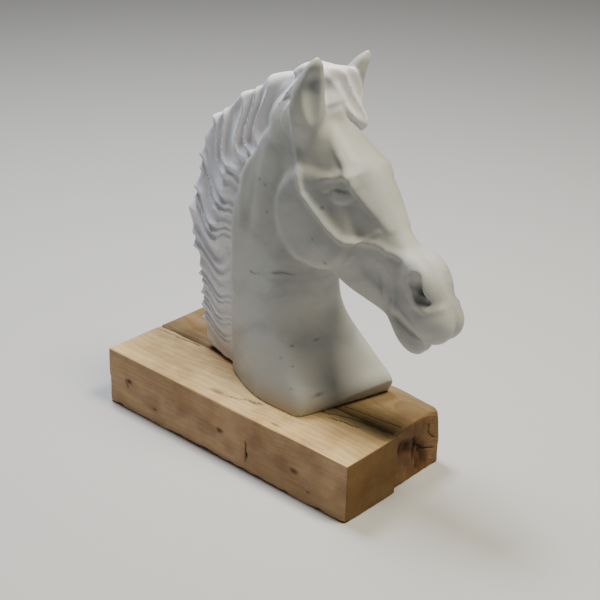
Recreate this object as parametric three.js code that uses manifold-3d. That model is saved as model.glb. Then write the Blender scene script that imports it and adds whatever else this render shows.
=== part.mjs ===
// Marble head of a horse standing on two rough-sawn timber beams.
//
// The beams lie side by side along X, the horse looks towards +X and its far side is +Y.
// The origin is on the underside of the beams, below the middle of the whole. +Z is up, and sizes
// are millimetres.
//
// The carving is one closed solid. It is written as a field: a function of a point that is negative
// inside the stone, zero on its skin and positive outside, worked out from the animal's profiles.

import * as THREE from 'three';
import { mergeVertices } from 'three/addons/utils/BufferGeometryUtils.js';
import Module from 'manifold-3d';

const wasm = await Module();
wasm.setup();

// Driving dimensions of the stand
const BEAM_LENGTH = 420;
const BEAM_WIDTH = 94.7;
const BEAM_HEIGHT = 80.7;
const BEAM_GAP = 0.6;
const FAR_BEAM_SET_BACK = 6;
const BEAM_ARRIS = 2.5;

// Driving dimensions of the carving
const HORSE_HEIGHT = 445;
const HORSE_SHIFT_Y = 12;
const SEAT_GAP = 0.3;
const SKIN_TRIANGLES = 9200;

// The profiles below are written for a carving of this height and scaled to HORSE_HEIGHT
const PROFILE_HEIGHT = 445;
const SCALE = HORSE_HEIGHT / PROFILE_HEIGHT;
const GRID_STEP = 3;

// Colours
const MARBLE_COLOUR = '#c9c8c6';
const WOOD_COLOUR = '#b08f63';

// Small arithmetic

const clamp = (x, low, high) => Math.min(Math.max(x, low), high);

// Smooth step from 0 at a to 1 at b, in either order of a and b.
function ease(x, a, b) {
  const t = clamp((x - a) / (b - a), 0, 1);
  return t * t * (3 - 2 * t);
}

// Union of two fields with a fillet about k wide.
function join(a, b, k) {
  const h = Math.max(k - Math.abs(a - b), 0) / k;
  return Math.min(a, b) - h * h * k * 0.25;
}

// Overlap of two fields with the corner rounded about k wide.
const meet = (a, b, k) => -join(-a, -b, k);

// What is left of a when b is cut away, with the new edge rounded.
const carve = (a, b, k) => meet(a, -b, k);

// A smooth curve through pairs (position, value), sampled once so that reading it is quick.
function profile(pairs) {
  const samples = 512;
  const x = pairs.map((pair) => pair[0]);
  const y = pairs.map((pair) => pair[1]);
  const last = x.length - 1;
  const gap = x.slice(1).map((value, i) => value - x[i]);
  const rise = y.slice(1).map((value, i) => (value - y[i]) / gap[i]);
  const slope = y.map((_, i) => {
    if (i === 0) return rise[0];
    if (i === last) return rise[last - 1];
    return (rise[i - 1] * gap[i] + rise[i] * gap[i - 1]) / (gap[i] + gap[i - 1]);
  });
  const table = new Float64Array(samples + 1);
  const span = x[last] - x[0];
  let k = 0;
  for (let i = 0; i <= samples; i++) {
    const at = x[0] + (span * i) / samples;
    while (k < last - 1 && at > x[k + 1]) k++;
    const s = (at - x[k]) / gap[k];
    const s2 = s * s;
    const s3 = s2 * s;
    table[i] = (2 * s3 - 3 * s2 + 1) * y[k] + (s3 - 2 * s2 + s) * gap[k] * slope[k]
      + (3 * s2 - 2 * s3) * y[k + 1] + (s3 - s2) * gap[k] * slope[k + 1];
  }
  return (at) => {
    const f = clamp((at - x[0]) / span, 0, 1) * samples;
    const i = Math.min(Math.floor(f), samples - 1);
    return table[i] + (table[i + 1] - table[i]) * (f - i);
  };
}

// Radial distance to a superellipse with half axes ra and rb and the given power.
function section(a, b, ra, rb, power) {
  const reach = Math.hypot(a, b) + 1e-6;
  const q = Math.pow(Math.pow(Math.abs(a / ra), power) + Math.pow(Math.abs(b / rb), power), 1 / power);
  return reach - reach / Math.max(q, 1e-6);
}

// Nearly the distance to an egg with centre c and half axes r.
function egg(x, y, z, c, r) {
  const dx = (x - c[0]) / r[0];
  const dy = (y - c[1]) / r[1];
  const dz = (z - c[2]) / r[2];
  const k0 = Math.hypot(dx, dy, dz);
  const k1 = Math.hypot(dx / r[0], dy / r[1], dz / r[2]);
  return (k0 * (k0 - 1)) / Math.max(k1, 1e-9);
}

// A rope of round cones through stations (x, y, z, radius), with their joints smoothed by k.
function rope(x, y, z, stations, k) {
  let field = Infinity;
  for (let i = 0; i + 1 < stations.length; i++) {
    const a = stations[i];
    const b = stations[i + 1];
    const ex = b[0] - a[0];
    const ey = b[1] - a[1];
    const ez = b[2] - a[2];
    const along = (x - a[0]) * ex + (y - a[1]) * ey + (z - a[2]) * ez;
    const h = clamp(along / (ex * ex + ey * ey + ez * ez), 0, 1);
    const reach = Math.hypot(x - a[0] - h * ex, y - a[1] - h * ey, z - a[2] - h * ez);
    const cone = reach - (a[3] + (b[3] - a[3]) * h);
    field = i === 0 ? cone : join(field, cone, k);
  }
  return field;
}

// Height of a soft ridge that runs along stations (a, b, height) of a side view.
function ridge(a, b, stations, width) {
  let best = Infinity;
  let height = 0;
  for (let i = 0; i + 1 < stations.length; i++) {
    const p = stations[i];
    const q = stations[i + 1];
    const ex = q[0] - p[0];
    const ey = q[1] - p[1];
    const h = clamp(((a - p[0]) * ex + (b - p[1]) * ey) / (ex * ex + ey * ey), 0, 1);
    const reach = Math.hypot(a - p[0] - h * ex, b - p[1] - h * ey);
    if (reach < best) {
      best = reach;
      height = p[2] + h * (q[2] - p[2]);
    }
  }
  return best > 3 * width ? 0 : height * Math.exp(-((best / width) ** 2));
}

// Height of a flat-topped mound with centre (ca, cb) and half axes (ra, rb), turned by some degrees.
function mound(a, b, ca, cb, ra, rb, turn) {
  const c = Math.cos(THREE.MathUtils.degToRad(turn));
  const s = Math.sin(THREE.MathUtils.degToRad(turn));
  const x = ((a - ca) * c + (b - cb) * s) / ra;
  const y = ((b - cb) * c - (a - ca) * s) / rb;
  const q = x * x + y * y;
  return q > 3 ? 0 : Math.exp(-q * q);
}

// The head is written along its own lines: u runs down the face from the poll, v stands out of
// the face, and w is the distance to the far side of the middle plane.
const FACE_SLOPE = THREE.MathUtils.degToRad(47);
const POLL_X = 60;
const POLL_Z = 400;
const FACE_COS = Math.cos(FACE_SLOPE);
const FACE_SIN = Math.sin(FACE_SLOPE);

const faceTop = profile([[-60, -46], [-30, -26], [0, -14], [30, -5], [60, 1], [90, 5], [115, 7], [140, 5],
  [170, 1], [195, -1], [225, 2], [250, 7], [275, 10], [300, 4], [318, -10], [330, -26]]);
const faceUnder = profile([[-60, -70], [-20, -84], [20, -96], [60, -108], [90, -116], [130, -124],
  [165, -127], [195, -121], [215, -113], [235, -101], [256, -88], [283, -78], [300, -70], [320, -60],
  [330, -50]]);
const faceHalf = profile([[-60, 16], [-20, 25], [20, 33], [60, 37], [90, 40], [120, 41], [150, 37],
  [175, 31], [200, 26.5], [225, 23], [250, 21.5], [275, 22], [300, 21], [318, 16], [330, 10]]);
const faceSquareness = profile([[-60, 2.2], [60, 2.8], [125, 3.2], [200, 2.8], [260, 2.5], [330, 2.4]]);

// The skull and muzzle, before anything is raised on them.
const SKULL_BACK = -22;
const SKULL_FRONT = 315;
function skull(u, v, w) {
  const at = clamp(u, -58, 328);
  const top = faceTop(at);
  const under = faceUnder(at);
  const middle = (top + under) / 2;
  const half = (top - under) / 2;
  const side = clamp((v - middle) / half, -1, 1);
  const width = faceHalf(at) * (1 - 0.1 * side * ease(at, 150, 60) + 0.04 * side * ease(at, 130, 200));
  const body = section(v - middle, w, half, width, faceSquareness(at));
  return meet(body, Math.max(SKULL_BACK - u, u - SKULL_FRONT), 28);
}

// The round plate of the jaw muscle, its rim standing out over the neck.
const JAW = { u: 125, v: -82, radius: 62.5, width: 46, crown: 3, rim: 14 };
function jawPlate(u, v, w) {
  const reach = Math.hypot(u - JAW.u, v - JAW.v);
  const face = Math.abs(w) - JAW.width + JAW.crown * ease(reach, JAW.radius / 3, JAW.radius);
  return meet(reach - JAW.radius, face, JAW.rim);
}

// Ridges on the side of the head, as stations (u, v, height), each with its half width.
const CHEEKBONE = [[50, -52, 1.5], [74, -63, 3], [94, -68, 4.5], [124, -61, 6.5], [149, -57, 7],
  [162, -54, 6], [171, -48, 5.5], [181, -35, 5], [190, -24, 4.5], [208, -14, 4], [224, -4, 3], [238, 4, 2]];
const CHEEKBONE_BRANCH = [[177, -38, 2.6], [180, -14, 1.5]];
const NOSE_EDGE = [[60, -6, 1], [80, -5, 2.5], [103, -3, 4], [130, -6, 3], [157, -5, 3], [185, -4, 2]];
const MOUTH_FOLD = [[205, -20, 2], [215, -26, 3], [226, -32, 3], [239, -38, 3], [252, -46, 3],
  [264, -56, 3]];
const BROW = [[93, -38, 1.5], [98, -24, 4], [105, -10, 5], [113, 0, 5], [122, -3, 3]];
const NOSTRIL_RIM = [[226, -2, 2.5], [240, -16, 3.5], [254, -21, 4], [272, -22, 4], [286, -12, 4],
  [291, 2, 3]];
const UPPER_LID = [[110, -42, 1], [113, -26, 1], [124, -12, 1], [136, -10, 1]];

// Mounds and hollows on the side of the head: height, centre (u, v), half axes and turn in degrees
const ORBIT = [-5, 138, -33, 36, 21, 12];
const CHEEK_HOLLOW = [-2.5, 222, -50, 24, 14, 20];
const TEMPLE_HOLLOW = [-1.5, 70, -30, 26, 16, 0];
const EYEBALL = [2.8, 124, -26, 13.5, 9, 52];
const UPPER_LID_CREASE = 1.2;

// How far the side of the head stands out beyond the skull.
function sideRelief(u, v) {
  let relief = ridge(u, v, CHEEKBONE, 6.5);
  relief += ridge(u, v, CHEEKBONE_BRANCH, 3.5);
  relief += ridge(u, v, NOSE_EDGE, 6);
  relief += ridge(u, v, MOUTH_FOLD, 5);
  relief += ridge(u, v, BROW, 6);
  relief += ridge(u, v, NOSTRIL_RIM, 5);
  for (const [height, ...place] of [ORBIT, CHEEK_HOLLOW, TEMPLE_HOLLOW, EYEBALL]) {
    relief += height * mound(u, v, ...place);
  }
  return relief - UPPER_LID_CREASE * ridge(u, v, UPPER_LID, 2.6);
}

const NOSTRIL = [[247, 1, 30, 8.5], [254, -6, 28.5, 9], [266, -10, 24.5, 7.8], [277, -6, 21, 4.5]];
const NOSTRIL_BORE = [[254, -5, 25, 7], [264, -9, 11, 6]];
const MOUTH_LINE = [[262, -60, 27, 2], [275, -57, 24, 2.5], [296, -51, 20, 3], [316, -44, 12, 4],
  [330, -42, 0, 5]];

// Eggs joined to the muzzle: centre (u, v, side) and half axes
const NOSTRIL_EGG = [[250, -4, 13], [28, 17, 15]];
const UPPER_LIP = [[301, -24, 9], [24, 27, 17]];
const LOWER_LIP = [[284, -66, 7], [32, 13, 17]];
const CHIN = [[299, -68, 4], [23, 14, 15]];
const MOUTH_CORNER = [[259, -54, 19], [8, 7, 6]];
const MUZZLE_START = 170;

// The head with its brow, cheekbones, eyes, nostrils and lips. The two sides are alike.
function head(u, v, w) {
  const side = Math.abs(w);
  let field = join(skull(u, v, w), jawPlate(u, v, w), 6);
  field -= sideRelief(u, v) * ease(side, 6, 17);
  if (u > MUZZLE_START) {
    field = join(field, egg(u, v, side, ...NOSTRIL_EGG), 14);
    field = carve(field, rope(u, v, side, NOSTRIL, 4), 4);
    field = carve(field, rope(u, v, side, NOSTRIL_BORE, 3), 2);
    field = join(field, egg(u, v, side, ...UPPER_LIP), 10);
    field = join(field, egg(u, v, side, ...LOWER_LIP), 8);
    field = join(field, egg(u, v, side, ...CHIN), 10);
    field = carve(field, rope(u, v, side, MOUTH_LINE, 3), 3);
    field = join(field, egg(u, v, side, ...MOUTH_CORNER), 5);
  }
  return field;
}

// The forelock is a wedge of hair on the forehead. It falls from a crest between the ears, and is
// swept down to the far side, so its lower edge crosses the face on a slant.
const FORELOCK_SWEEP = THREE.MathUtils.degToRad(48.7);
const FORELOCK_EDGE = 26;
const FORELOCK_LIP = 7;
const FORELOCK_CREST = 426;
const FORELOCK_BACK = -34;
const FORELOCK_UNDER = -20;
const FORELOCK_LOCK = 14;
const FORELOCK_RELIEF = 4.5;
const FORELOCK_STEEP = 1.05;
const FORELOCK_NEAR = -15;
const FORELOCK_FAR = 13;
function forelock(u, v, w, z) {
  const across = u * Math.sin(FORELOCK_SWEEP) - w * Math.cos(FORELOCK_SWEEP) - FORELOCK_EDGE;
  const along = u * Math.cos(FORELOCK_SWEEP) + w * Math.sin(FORELOCK_SWEEP);
  // the locks lie side by side, a little askew to the lower edge, with hollows between them
  const count = (0.33 * along - 15 - across) / FORELOCK_LOCK;
  const crest = Math.abs(2 * (count - Math.floor(count)) - 1) ** 1.6;
  const steep = FORELOCK_STEEP - 0.016 * clamp(along - 10, 0, 50);
  const face = FORELOCK_LIP - across * steep - FORELOCK_RELIEF * (1 - crest);
  let field = meet((v - face) * 0.68, z - FORELOCK_CREST, 10);
  field = meet(field, across, 5);
  // it widens towards its far, lower end
  const far = FORELOCK_FAR + 0.6 * clamp(along, 0, 40);
  field = meet(field, Math.max(FORELOCK_NEAR - w, w - far), 8);
  return meet(field, Math.max(FORELOCK_BACK - u, FORELOCK_UNDER - v), 10);
}

// The neck is a tapered block: narrow behind, where the mane grows, and broad in front.
const neckRear = profile([[-20, -54], [0, -55], [100, -57], [170, -57], [223, -56], [250, -50], [281, -41],
  [305, -25], [333, -9], [347, 3], [371, 22], [390, 42], [420, 70]]);
const neckFront = profile([[-20, 114], [0, 118], [15, 120], [23, 119], [41, 108], [67, 95], [95, 83],
  [117, 77], [150, 76], [200, 78], [250, 88], [300, 98], [340, 100], [370, 96], [420, 80]]);
const neckHalf = profile([[-20, 66], [0, 66], [50, 62], [100, 57], [150, 52], [200, 44], [250, 37],
  [300, 33], [340, 30], [370, 27], [395, 20], [420, 10]]);
const neckBackHalf = profile([[-20, 31], [0, 31], [50, 32], [100, 33], [150, 34], [200, 34], [250, 31],
  [300, 28], [350, 25], [420, 10]]);
const CHEST_SKEW = 0.36;
const NECK_TOP = 402;
// the two bands of muscle that come down behind the jaw: height, centre (x, z), half axes and turn
const JAW_MUSCLE = [5.5, 12, 288, 24, 78, -10];
const CREST_MUSCLE = [3, -26, 262, 13, 52, -8];
function neck(x, y, z) {
  const at = clamp(z, -20, 418);
  const back = neckRear(at);
  const front = (x - y * CHEST_SKEW * ease(z, 150, 20) - neckFront(at)) * 0.9;
  const t = clamp((x - back) / 100, 0, 1);
  const narrow = neckBackHalf(at);
  const half = narrow + (neckHalf(at) - narrow) * t * (1.5 - 0.5 * t * t);
  let side = (Math.abs(y) - half) * 0.93;
  for (const [height, ...place] of [JAW_MUSCLE, CREST_MUSCLE]) side -= height * mound(x, z, ...place);
  let field = meet(side, (back - x) * 0.95, 12);
  field = meet(field, front, 10 + 36 * ease(z, 10, 110));
  return meet(field, z - NECK_TOP, 30);
}

// An ear is a leaf whose place and half width follow profiles of height, with a hollow cut out of it
// that is turned forwards and outwards. The far ear leans a little more.
const EAR_ROOT = 300;
const EAR_TOP = 455;
const EAR_LEAN = { from: 380, to: 445, x: 7, y: 2, z: 6 };
const earX = profile([[300, 55], [335, 60], [358, 64], [380, 67], [405, 72], [427, 79], [442, 85], [455, 90]]);
const earY = profile([[300, 20], [335, 24], [358, 29], [380, 33], [405, 37], [427, 39], [455, 41]]);
const earHalf = profile([[300, 4], [335, 13], [358, 18], [380, 20.5], [405, 18], [427, 12.5], [441, 6.5],
  [448, 0], [455, -9]]);
const hollowX = profile([[355, 84], [372, 86], [390, 90], [410, 93], [430, 96], [455, 100]]);
const hollowY = profile([[355, 40], [372, 43], [390, 47], [410, 50], [430, 50], [455, 46]]);
const hollowHalf = profile([[355, -7], [372, 4], [390, 11], [410, 13], [430, 9.5], [455, 0]]);
function ear(x, y, z) {
  const lean = y > 0 ? ease(z, EAR_LEAN.from, EAR_LEAN.to) : 0;
  const px = x - EAR_LEAN.x * lean;
  const py = Math.abs(y) + EAR_LEAN.y * lean;
  const pz = z + EAR_LEAN.z * lean;
  const at = clamp(pz, EAR_ROOT, EAR_TOP);
  const leaf = (Math.hypot(px - earX(at), py - earY(at)) - earHalf(at)) * 0.85;
  const hollow = (Math.hypot(px - hollowX(at), py - hollowY(at)) - hollowHalf(at)) * 0.85;
  return Math.max(carve(leaf, hollow, 5), EAR_ROOT - pz);
}

// The mane is a fin round the back of the neck. It is written round one centre: the angle phi is
// measured from the rear, and the locks are counted along it. Low on the neck they lie level.
const MANE_X = 40;
const MANE_Z = 180;
const MANE_DEPTH = 80;
const MANE_FOOT = 4;
const MANE_LEVEL_REACH = 190;
const MANE_EDGE_HALF = 13;
const MANE_SWELL = 12;
const MANE_POLL_SWELL = 7;
const MANE_LOW_RELIEF = 3.5;
const MANE_HIGH_RELIEF = 7;
const MANE_CORE = 95;
const MANE_END = 104;
const MANE_FRONT = -10;
const maneReach = profile([[-64, 268], [-55, 250], [-47, 238], [-31, 203], [-17.6, 191], [-3.2, 197],
  [16, 191], [40, 209], [61.6, 212], [82.5, 232], [95, 247], [106, 246], [120, 236]]);
const maneCount = profile([[-64, 0], [-47, 1.5], [-31, 6.5], [-22, 9], [-3, 12], [16, 15], [40, 18.2],
  [61.6, 20.8], [82.5, 23], [102, 25], [118, 26.5]]);
function mane(x, y, z) {
  const reach = Math.hypot(x - MANE_X, z - MANE_Z);
  let phi = THREE.MathUtils.radToDeg(Math.atan2(z - MANE_Z, MANE_X - x));
  if (phi < -90) phi += 360;
  const at = clamp(phi, -64, 118);
  const depth = maneReach(at) - reach;
  const out = clamp(1 - depth / MANE_DEPTH, 0, 1.1);
  // each lock dips as it leaves the neck, climbs, and flattens at its tip
  const sway = 2.2 + 3.3 * ease(at, -35, 5);
  const level = THREE.MathUtils.radToDeg((z - MANE_Z) / MANE_LEVEL_REACH);
  const run = at + (level - at) * ease(z, 210, 110) + sway * Math.sin(5.3 * out);
  // the locks are uneven in width, and their tips are bunched in twos
  const even = maneCount(clamp(run, -64, 118));
  const phase = even + 0.22 * Math.sin(2.4 * even);
  const bunch = 0.5 - 0.5 * Math.cos(Math.PI * phase);
  const crest = Math.abs(2 * (phase - Math.floor(phase)) - 1) ** 1.8;
  const deepest = MANE_LOW_RELIEF + (MANE_HIGH_RELIEF - MANE_LOW_RELIEF) * ease(at, -35, 5);
  const relief = deepest * ease(depth, -4, 16) * (1 - 0.7 * ease(depth, 55, 80));
  const poll = ease(at, 66, 92);
  const smooth = MANE_EDGE_HALF + MANE_SWELL * ease(depth, 0, 70) + MANE_POLL_SWELL * poll;
  const half = smooth - relief * (1 - crest);
  const edge = (2.5 * (1 - crest) + 4.5 * bunch - depth) * 0.9;
  let field = meet((Math.abs(y) - half) * 0.85, edge, 9 + 13 * poll);
  field = meet(field, 3 * (phi - MANE_END), 32);
  field = Math.max(field, MANE_CORE - reach, MANE_FOOT - z);
  return z < 150 ? Math.max(field, x - MANE_FRONT) : field;
}

// A low bevel is cut off the foot of the chest. Its plane goes through the near and far front
// corners of the foot and the far corner above them.
const BEVEL_NEAR = new THREE.Vector3(96, -63, 0);
const BEVEL_FAR = new THREE.Vector3(129, 59, 0);
const BEVEL_TOP = new THREE.Vector3(142, 61, 23);
const BEVEL_REACH = 40;
const bevel = new THREE.Plane().setFromCoplanarPoints(BEVEL_NEAR, BEVEL_FAR, BEVEL_TOP);

// The whole carving, with its lower end left long so that it can be cut flat.
const FOOT_OVERRUN = -9;
const HEAD_LOWEST = 90;
const FORELOCK_LOWEST = 300;
const FORELOCK_LAST = 90;
function horse(x, y, z) {
  const dx = x - POLL_X;
  const dz = z - POLL_Z;
  const u = dx * FACE_COS - dz * FACE_SIN;
  const v = dx * FACE_SIN + dz * FACE_COS;
  let field = neck(x, y, z);
  if (z < BEVEL_REACH) {
    field = Math.max(field, bevel.normal.x * x + bevel.normal.y * y + bevel.normal.z * z + bevel.constant);
  }
  if (z > HEAD_LOWEST) {
    field = join(head(u, v, y), field, 4);
    field = join(field, ear(x, y, z), 7);
  }
  field = join(field, mane(x, y, z), 3);
  if (u < FORELOCK_LAST && z > FORELOCK_LOWEST) field = join(field, forelock(u, v, y, z), 3);
  return Math.max(field, FOOT_OVERRUN - z);
}

// The skin of a field, as one point in every cube of a grid that the skin crosses, joined by a
// square over every crossed edge of the grid.
const FAR_BLOCK = 4;
const FAR_SHARE = 2.2;
function skinOf(field, low, high, step) {
  const [nx, ny, nz] = low.map((value, i) => Math.ceil((high[i] - value) / step) + 1);
  const index = (i, j, k) => (i * ny + j) * nz + k;
  const values = new Float32Array(nx * ny * nz);
  const at = (i, j, k) => field(low[0] + i * step, low[1] + j * step, low[2] + k * step);

  // a block whose middle is far from the skin is filled at once
  const far = FAR_SHARE * (FAR_BLOCK / 2) * Math.sqrt(3) * step;
  for (let i = 0; i < nx; i += FAR_BLOCK) {
    for (let j = 0; j < ny; j += FAR_BLOCK) {
      for (let k = 0; k < nz; k += FAR_BLOCK) {
        const middle = at(i + FAR_BLOCK / 2, j + FAR_BLOCK / 2, k + FAR_BLOCK / 2);
        const filled = Math.abs(middle) > far;
        for (let a = i; a < Math.min(i + FAR_BLOCK, nx); a++) {
          for (let b = j; b < Math.min(j + FAR_BLOCK, ny); b++) {
            for (let c = k; c < Math.min(k + FAR_BLOCK, nz); c++) {
              values[index(a, b, c)] = filled ? middle : at(a, b, c);
            }
          }
        }
      }
    }
  }

  const cornerOf = (i, j, k, m) => index(i + (m >> 2), j + ((m >> 1) & 1), k + (m & 1));
  // true when the corners of a cube in the set are all joined along its edges
  function inOnePiece(mask) {
    if (mask === 0) return true;
    let reached = mask & -mask;
    for (let pass = 0; pass < 8; pass++) {
      for (let m = 0; m < 8; m++) {
        const near = (reached >> (m ^ 1)) & 1 || (reached >> (m ^ 2)) & 1 || (reached >> (m ^ 4)) & 1;
        if ((mask >> m) & 1 && near) reached |= 1 << m;
      }
    }
    return reached === mask;
  }
  const plain = Array.from({ length: 256 }, (_, mask) => inOnePiece(mask) && inOnePiece(255 - mask));

  // where a cube's inner or outer corners aren't joined, the gap in it is filled, so that the skin
  // never meets itself in one cube
  const masks = new Uint8Array(values.length);
  for (let changed = true; changed;) {
    changed = false;
    for (let i = 0; i + 1 < nx; i++) {
      for (let j = 0; j + 1 < ny; j++) {
        for (let k = 0; k + 1 < nz; k++) {
          let mask = 0;
          for (let m = 0; m < 8; m++) if (values[cornerOf(i, j, k, m)] < 0) mask |= 1 << m;
          masks[index(i, j, k)] = mask;
          if (plain[mask]) continue;
          // the outer corner nearest to the stone is taken into it, so this always ends
          let nearest = -1;
          for (let m = 0; m < 8; m++) {
            const corner = cornerOf(i, j, k, m);
            if (values[corner] >= 0 && (nearest < 0 || values[corner] < values[nearest])) nearest = corner;
          }
          values[nearest] = -1e-3 * step;
          changed = true;
        }
      }
    }
  }

  const points = [];
  const pointAt = new Int32Array(values.length).fill(-1);
  for (let i = 0; i + 1 < nx; i++) {
    for (let j = 0; j + 1 < ny; j++) {
      for (let k = 0; k + 1 < nz; k++) {
        const mask = masks[index(i, j, k)];
        if (mask === 0 || mask === 255) continue;
        const sum = [0, 0, 0];
        let crossings = 0;
        for (let m = 0; m < 8; m++) {
          for (const bit of [4, 2, 1]) {
            if (m & bit || ((mask >> m) & 1) === ((mask >> (m | bit)) & 1)) continue;
            const p = values[cornerOf(i, j, k, m)];
            const q = values[cornerOf(i, j, k, m | bit)];
            const t = p / (p - q);
            sum[0] += (m >> 2) + (bit === 4 ? t : 0);
            sum[1] += ((m >> 1) & 1) + (bit === 2 ? t : 0);
            sum[2] += (m & 1) + (bit === 1 ? t : 0);
            crossings++;
          }
        }
        pointAt[index(i, j, k)] = points.length / 3;
        const start = [i, j, k].map((n, m) => low[m] + (n + sum[m] / crossings) * step);
        points.push(...ontoSkin(field, start, step));
      }
    }
  }

  const triangles = [];
  for (let i = 1; i + 1 < nx; i++) {
    for (let j = 1; j + 1 < ny; j++) {
      for (let k = 1; k + 1 < nz; k++) {
        const inside = values[index(i, j, k)] < 0;
        const squares = [
          [index(i + 1, j, k), [[0, 1, 1], [0, 0, 1], [0, 0, 0], [0, 1, 0]]],
          [index(i, j + 1, k), [[1, 0, 1], [1, 0, 0], [0, 0, 0], [0, 0, 1]]],
          [index(i, j, k + 1), [[1, 1, 0], [0, 1, 0], [0, 0, 0], [1, 0, 0]]],
        ];
        for (const [next, around] of squares) {
          if (inside === values[next] < 0) continue;
          const ring = around.map(([a, b, c]) => pointAt[index(i - a, j - b, k - c)]);
          if (!inside) ring.reverse();
          triangles.push(ring[0], ring[1], ring[2], ring[0], ring[2], ring[3]);
        }
      }
    }
  }
  return { points, triangles };
}

// Walks from a point near the skin to the skin, down the field's steepest slope.
function ontoSkin(field, start, step) {
  const nudge = step / 20;
  let p = start;
  for (let pass = 0; pass < 2; pass++) {
    const value = field(...p);
    const slope = [0, 1, 2].map((m) => {
      const q = p.map((coordinate, n) => coordinate + (n === m ? nudge : 0));
      return (field(...q) - value) / nudge;
    });
    const steep = slope[0] ** 2 + slope[1] ** 2 + slope[2] ** 2;
    const walk = clamp(value / Math.max(steep, 0.1), -step / 3, step / 3);
    p = p.map((coordinate, m) => coordinate - walk * slope[m]);
  }
  return p;
}

// Thins a closed mesh to about the wanted number of triangles. Edges are collapsed in order of the
// error that each one makes against the planes it replaces, and never where the skin would pinch
// or fold over.
const SLIVER = 0.04;
function thin({ points, triangles }, wanted) {
  const position = Float64Array.from(points);
  const face = Int32Array.from(triangles);
  const vertexCount = position.length / 3;
  const faceAlive = new Uint8Array(face.length / 3).fill(1);
  const stamp = new Int32Array(vertexCount);
  const around = Array.from({ length: vertexCount }, () => []);
  const quadric = new Float64Array(vertexCount * 10);
  let alive = face.length / 3;

  function normalOf(a, b, c) {
    const ex = b[0] - a[0];
    const ey = b[1] - a[1];
    const ez = b[2] - a[2];
    const fx = c[0] - a[0];
    const fy = c[1] - a[1];
    const fz = c[2] - a[2];
    return [ey * fz - ez * fy, ez * fx - ex * fz, ex * fy - ey * fx];
  }
  const place = (n) => [position[3 * n], position[3 * n + 1], position[3 * n + 2]];

  for (let t = 0; t < face.length / 3; t++) {
    const corners = [face[3 * t], face[3 * t + 1], face[3 * t + 2]];
    const [a, b, c] = corners.map(place);
    const n = normalOf(a, b, c);
    const length = Math.hypot(...n) || 1e-12;
    const plane = [n[0] / length, n[1] / length, n[2] / length];
    plane.push(-(plane[0] * a[0] + plane[1] * a[1] + plane[2] * a[2]));
    for (const vertex of corners) {
      around[vertex].push(t);
      let slot = vertex * 10;
      for (let i = 0; i < 4; i++) {
        for (let j = i; j < 4; j++) quadric[slot++] += plane[i] * plane[j] * length;
      }
    }
  }

  function errorAt(q, p) {
    const [x, y, z] = p;
    return q[0] * x * x + 2 * q[1] * x * y + 2 * q[2] * x * z + 2 * q[3] * x + q[4] * y * y
      + 2 * q[5] * y * z + 2 * q[6] * y + q[7] * z * z + 2 * q[8] * z + q[9];
  }

  // The best place for the vertex that an edge becomes, and its error.
  function target(a, b) {
    const q = new Float64Array(10);
    for (let i = 0; i < 10; i++) q[i] = quadric[a * 10 + i] + quadric[b * 10 + i];
    const pa = place(a);
    const pb = place(b);
    const middle = [0, 1, 2].map((m) => (pa[m] + pb[m]) / 2);
    const span = Math.hypot(pa[0] - pb[0], pa[1] - pb[1], pa[2] - pb[2]);
    // a weak pull to the middle keeps flat parts even and the system solvable
    const pull = 1e-3 * (q[0] + q[4] + q[7]);
    const xx = q[0] + pull;
    const yy = q[4] + pull;
    const zz = q[7] + pull;
    const rx = pull * middle[0] - q[3];
    const ry = pull * middle[1] - q[6];
    const rz = pull * middle[2] - q[8];
    const cx = yy * zz - q[5] * q[5];
    const cy = q[2] * q[5] - q[1] * zz;
    const cz = q[1] * q[5] - q[2] * yy;
    const det = xx * cx + q[1] * cy + q[2] * cz;
    let best = middle;
    if (det > 1e-12) {
      const x = (rx * cx + ry * cy + rz * cz) / det;
      const y = (rx * cy + ry * (xx * zz - q[2] * q[2]) + rz * (q[1] * q[2] - xx * q[5])) / det;
      const z = (rx * cz + ry * (q[1] * q[2] - xx * q[5]) + rz * (xx * yy - q[1] * q[1])) / det;
      if (Math.hypot(x - middle[0], y - middle[1], z - middle[2]) < 2 * span) best = [x, y, z];
    }
    return { best, cost: errorAt(q, best) + pull * 0.2 * span * span };
  }

  // A heap of edges, cheapest first. An edge is stale when one of its ends has moved since.
  const heap = [];
  const before = (i, j) => heap[i].cost < heap[j].cost;
  function swap(i, j) {
    const kept = heap[i];
    heap[i] = heap[j];
    heap[j] = kept;
  }
  function push(a, b) {
    const { best, cost } = target(a, b);
    heap.push({ a, b, best, cost, when: stamp[a] + stamp[b] });
    let i = heap.length - 1;
    while (i > 0 && before(i, (i - 1) >> 1)) {
      swap(i, (i - 1) >> 1);
      i = (i - 1) >> 1;
    }
  }
  function pop() {
    const first = heap[0];
    const last = heap.pop();
    if (heap.length > 0) {
      heap[0] = last;
      let i = 0;
      for (;;) {
        let next = 2 * i + 1;
        if (next >= heap.length) break;
        if (next + 1 < heap.length && before(next + 1, next)) next++;
        if (!before(next, i)) break;
        swap(i, next);
        i = next;
      }
    }
    return first;
  }

  function neighbours(vertex) {
    const found = new Set();
    for (const t of around[vertex]) {
      for (let m = 0; m < 3; m++) found.add(face[3 * t + m]);
    }
    found.delete(vertex);
    return found;
  }

  // Twice the area of a triangle over its longest side squared: near 0 for a sliver.
  function fairness(corners, normal) {
    let longest = 0;
    for (let m = 0; m < 3; m++) {
      const p = corners[m];
      const q = corners[(m + 1) % 3];
      longest = Math.max(longest, (p[0] - q[0]) ** 2 + (p[1] - q[1]) ** 2 + (p[2] - q[2]) ** 2);
    }
    return Math.hypot(...normal) / (longest + 1e-12);
  }

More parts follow.
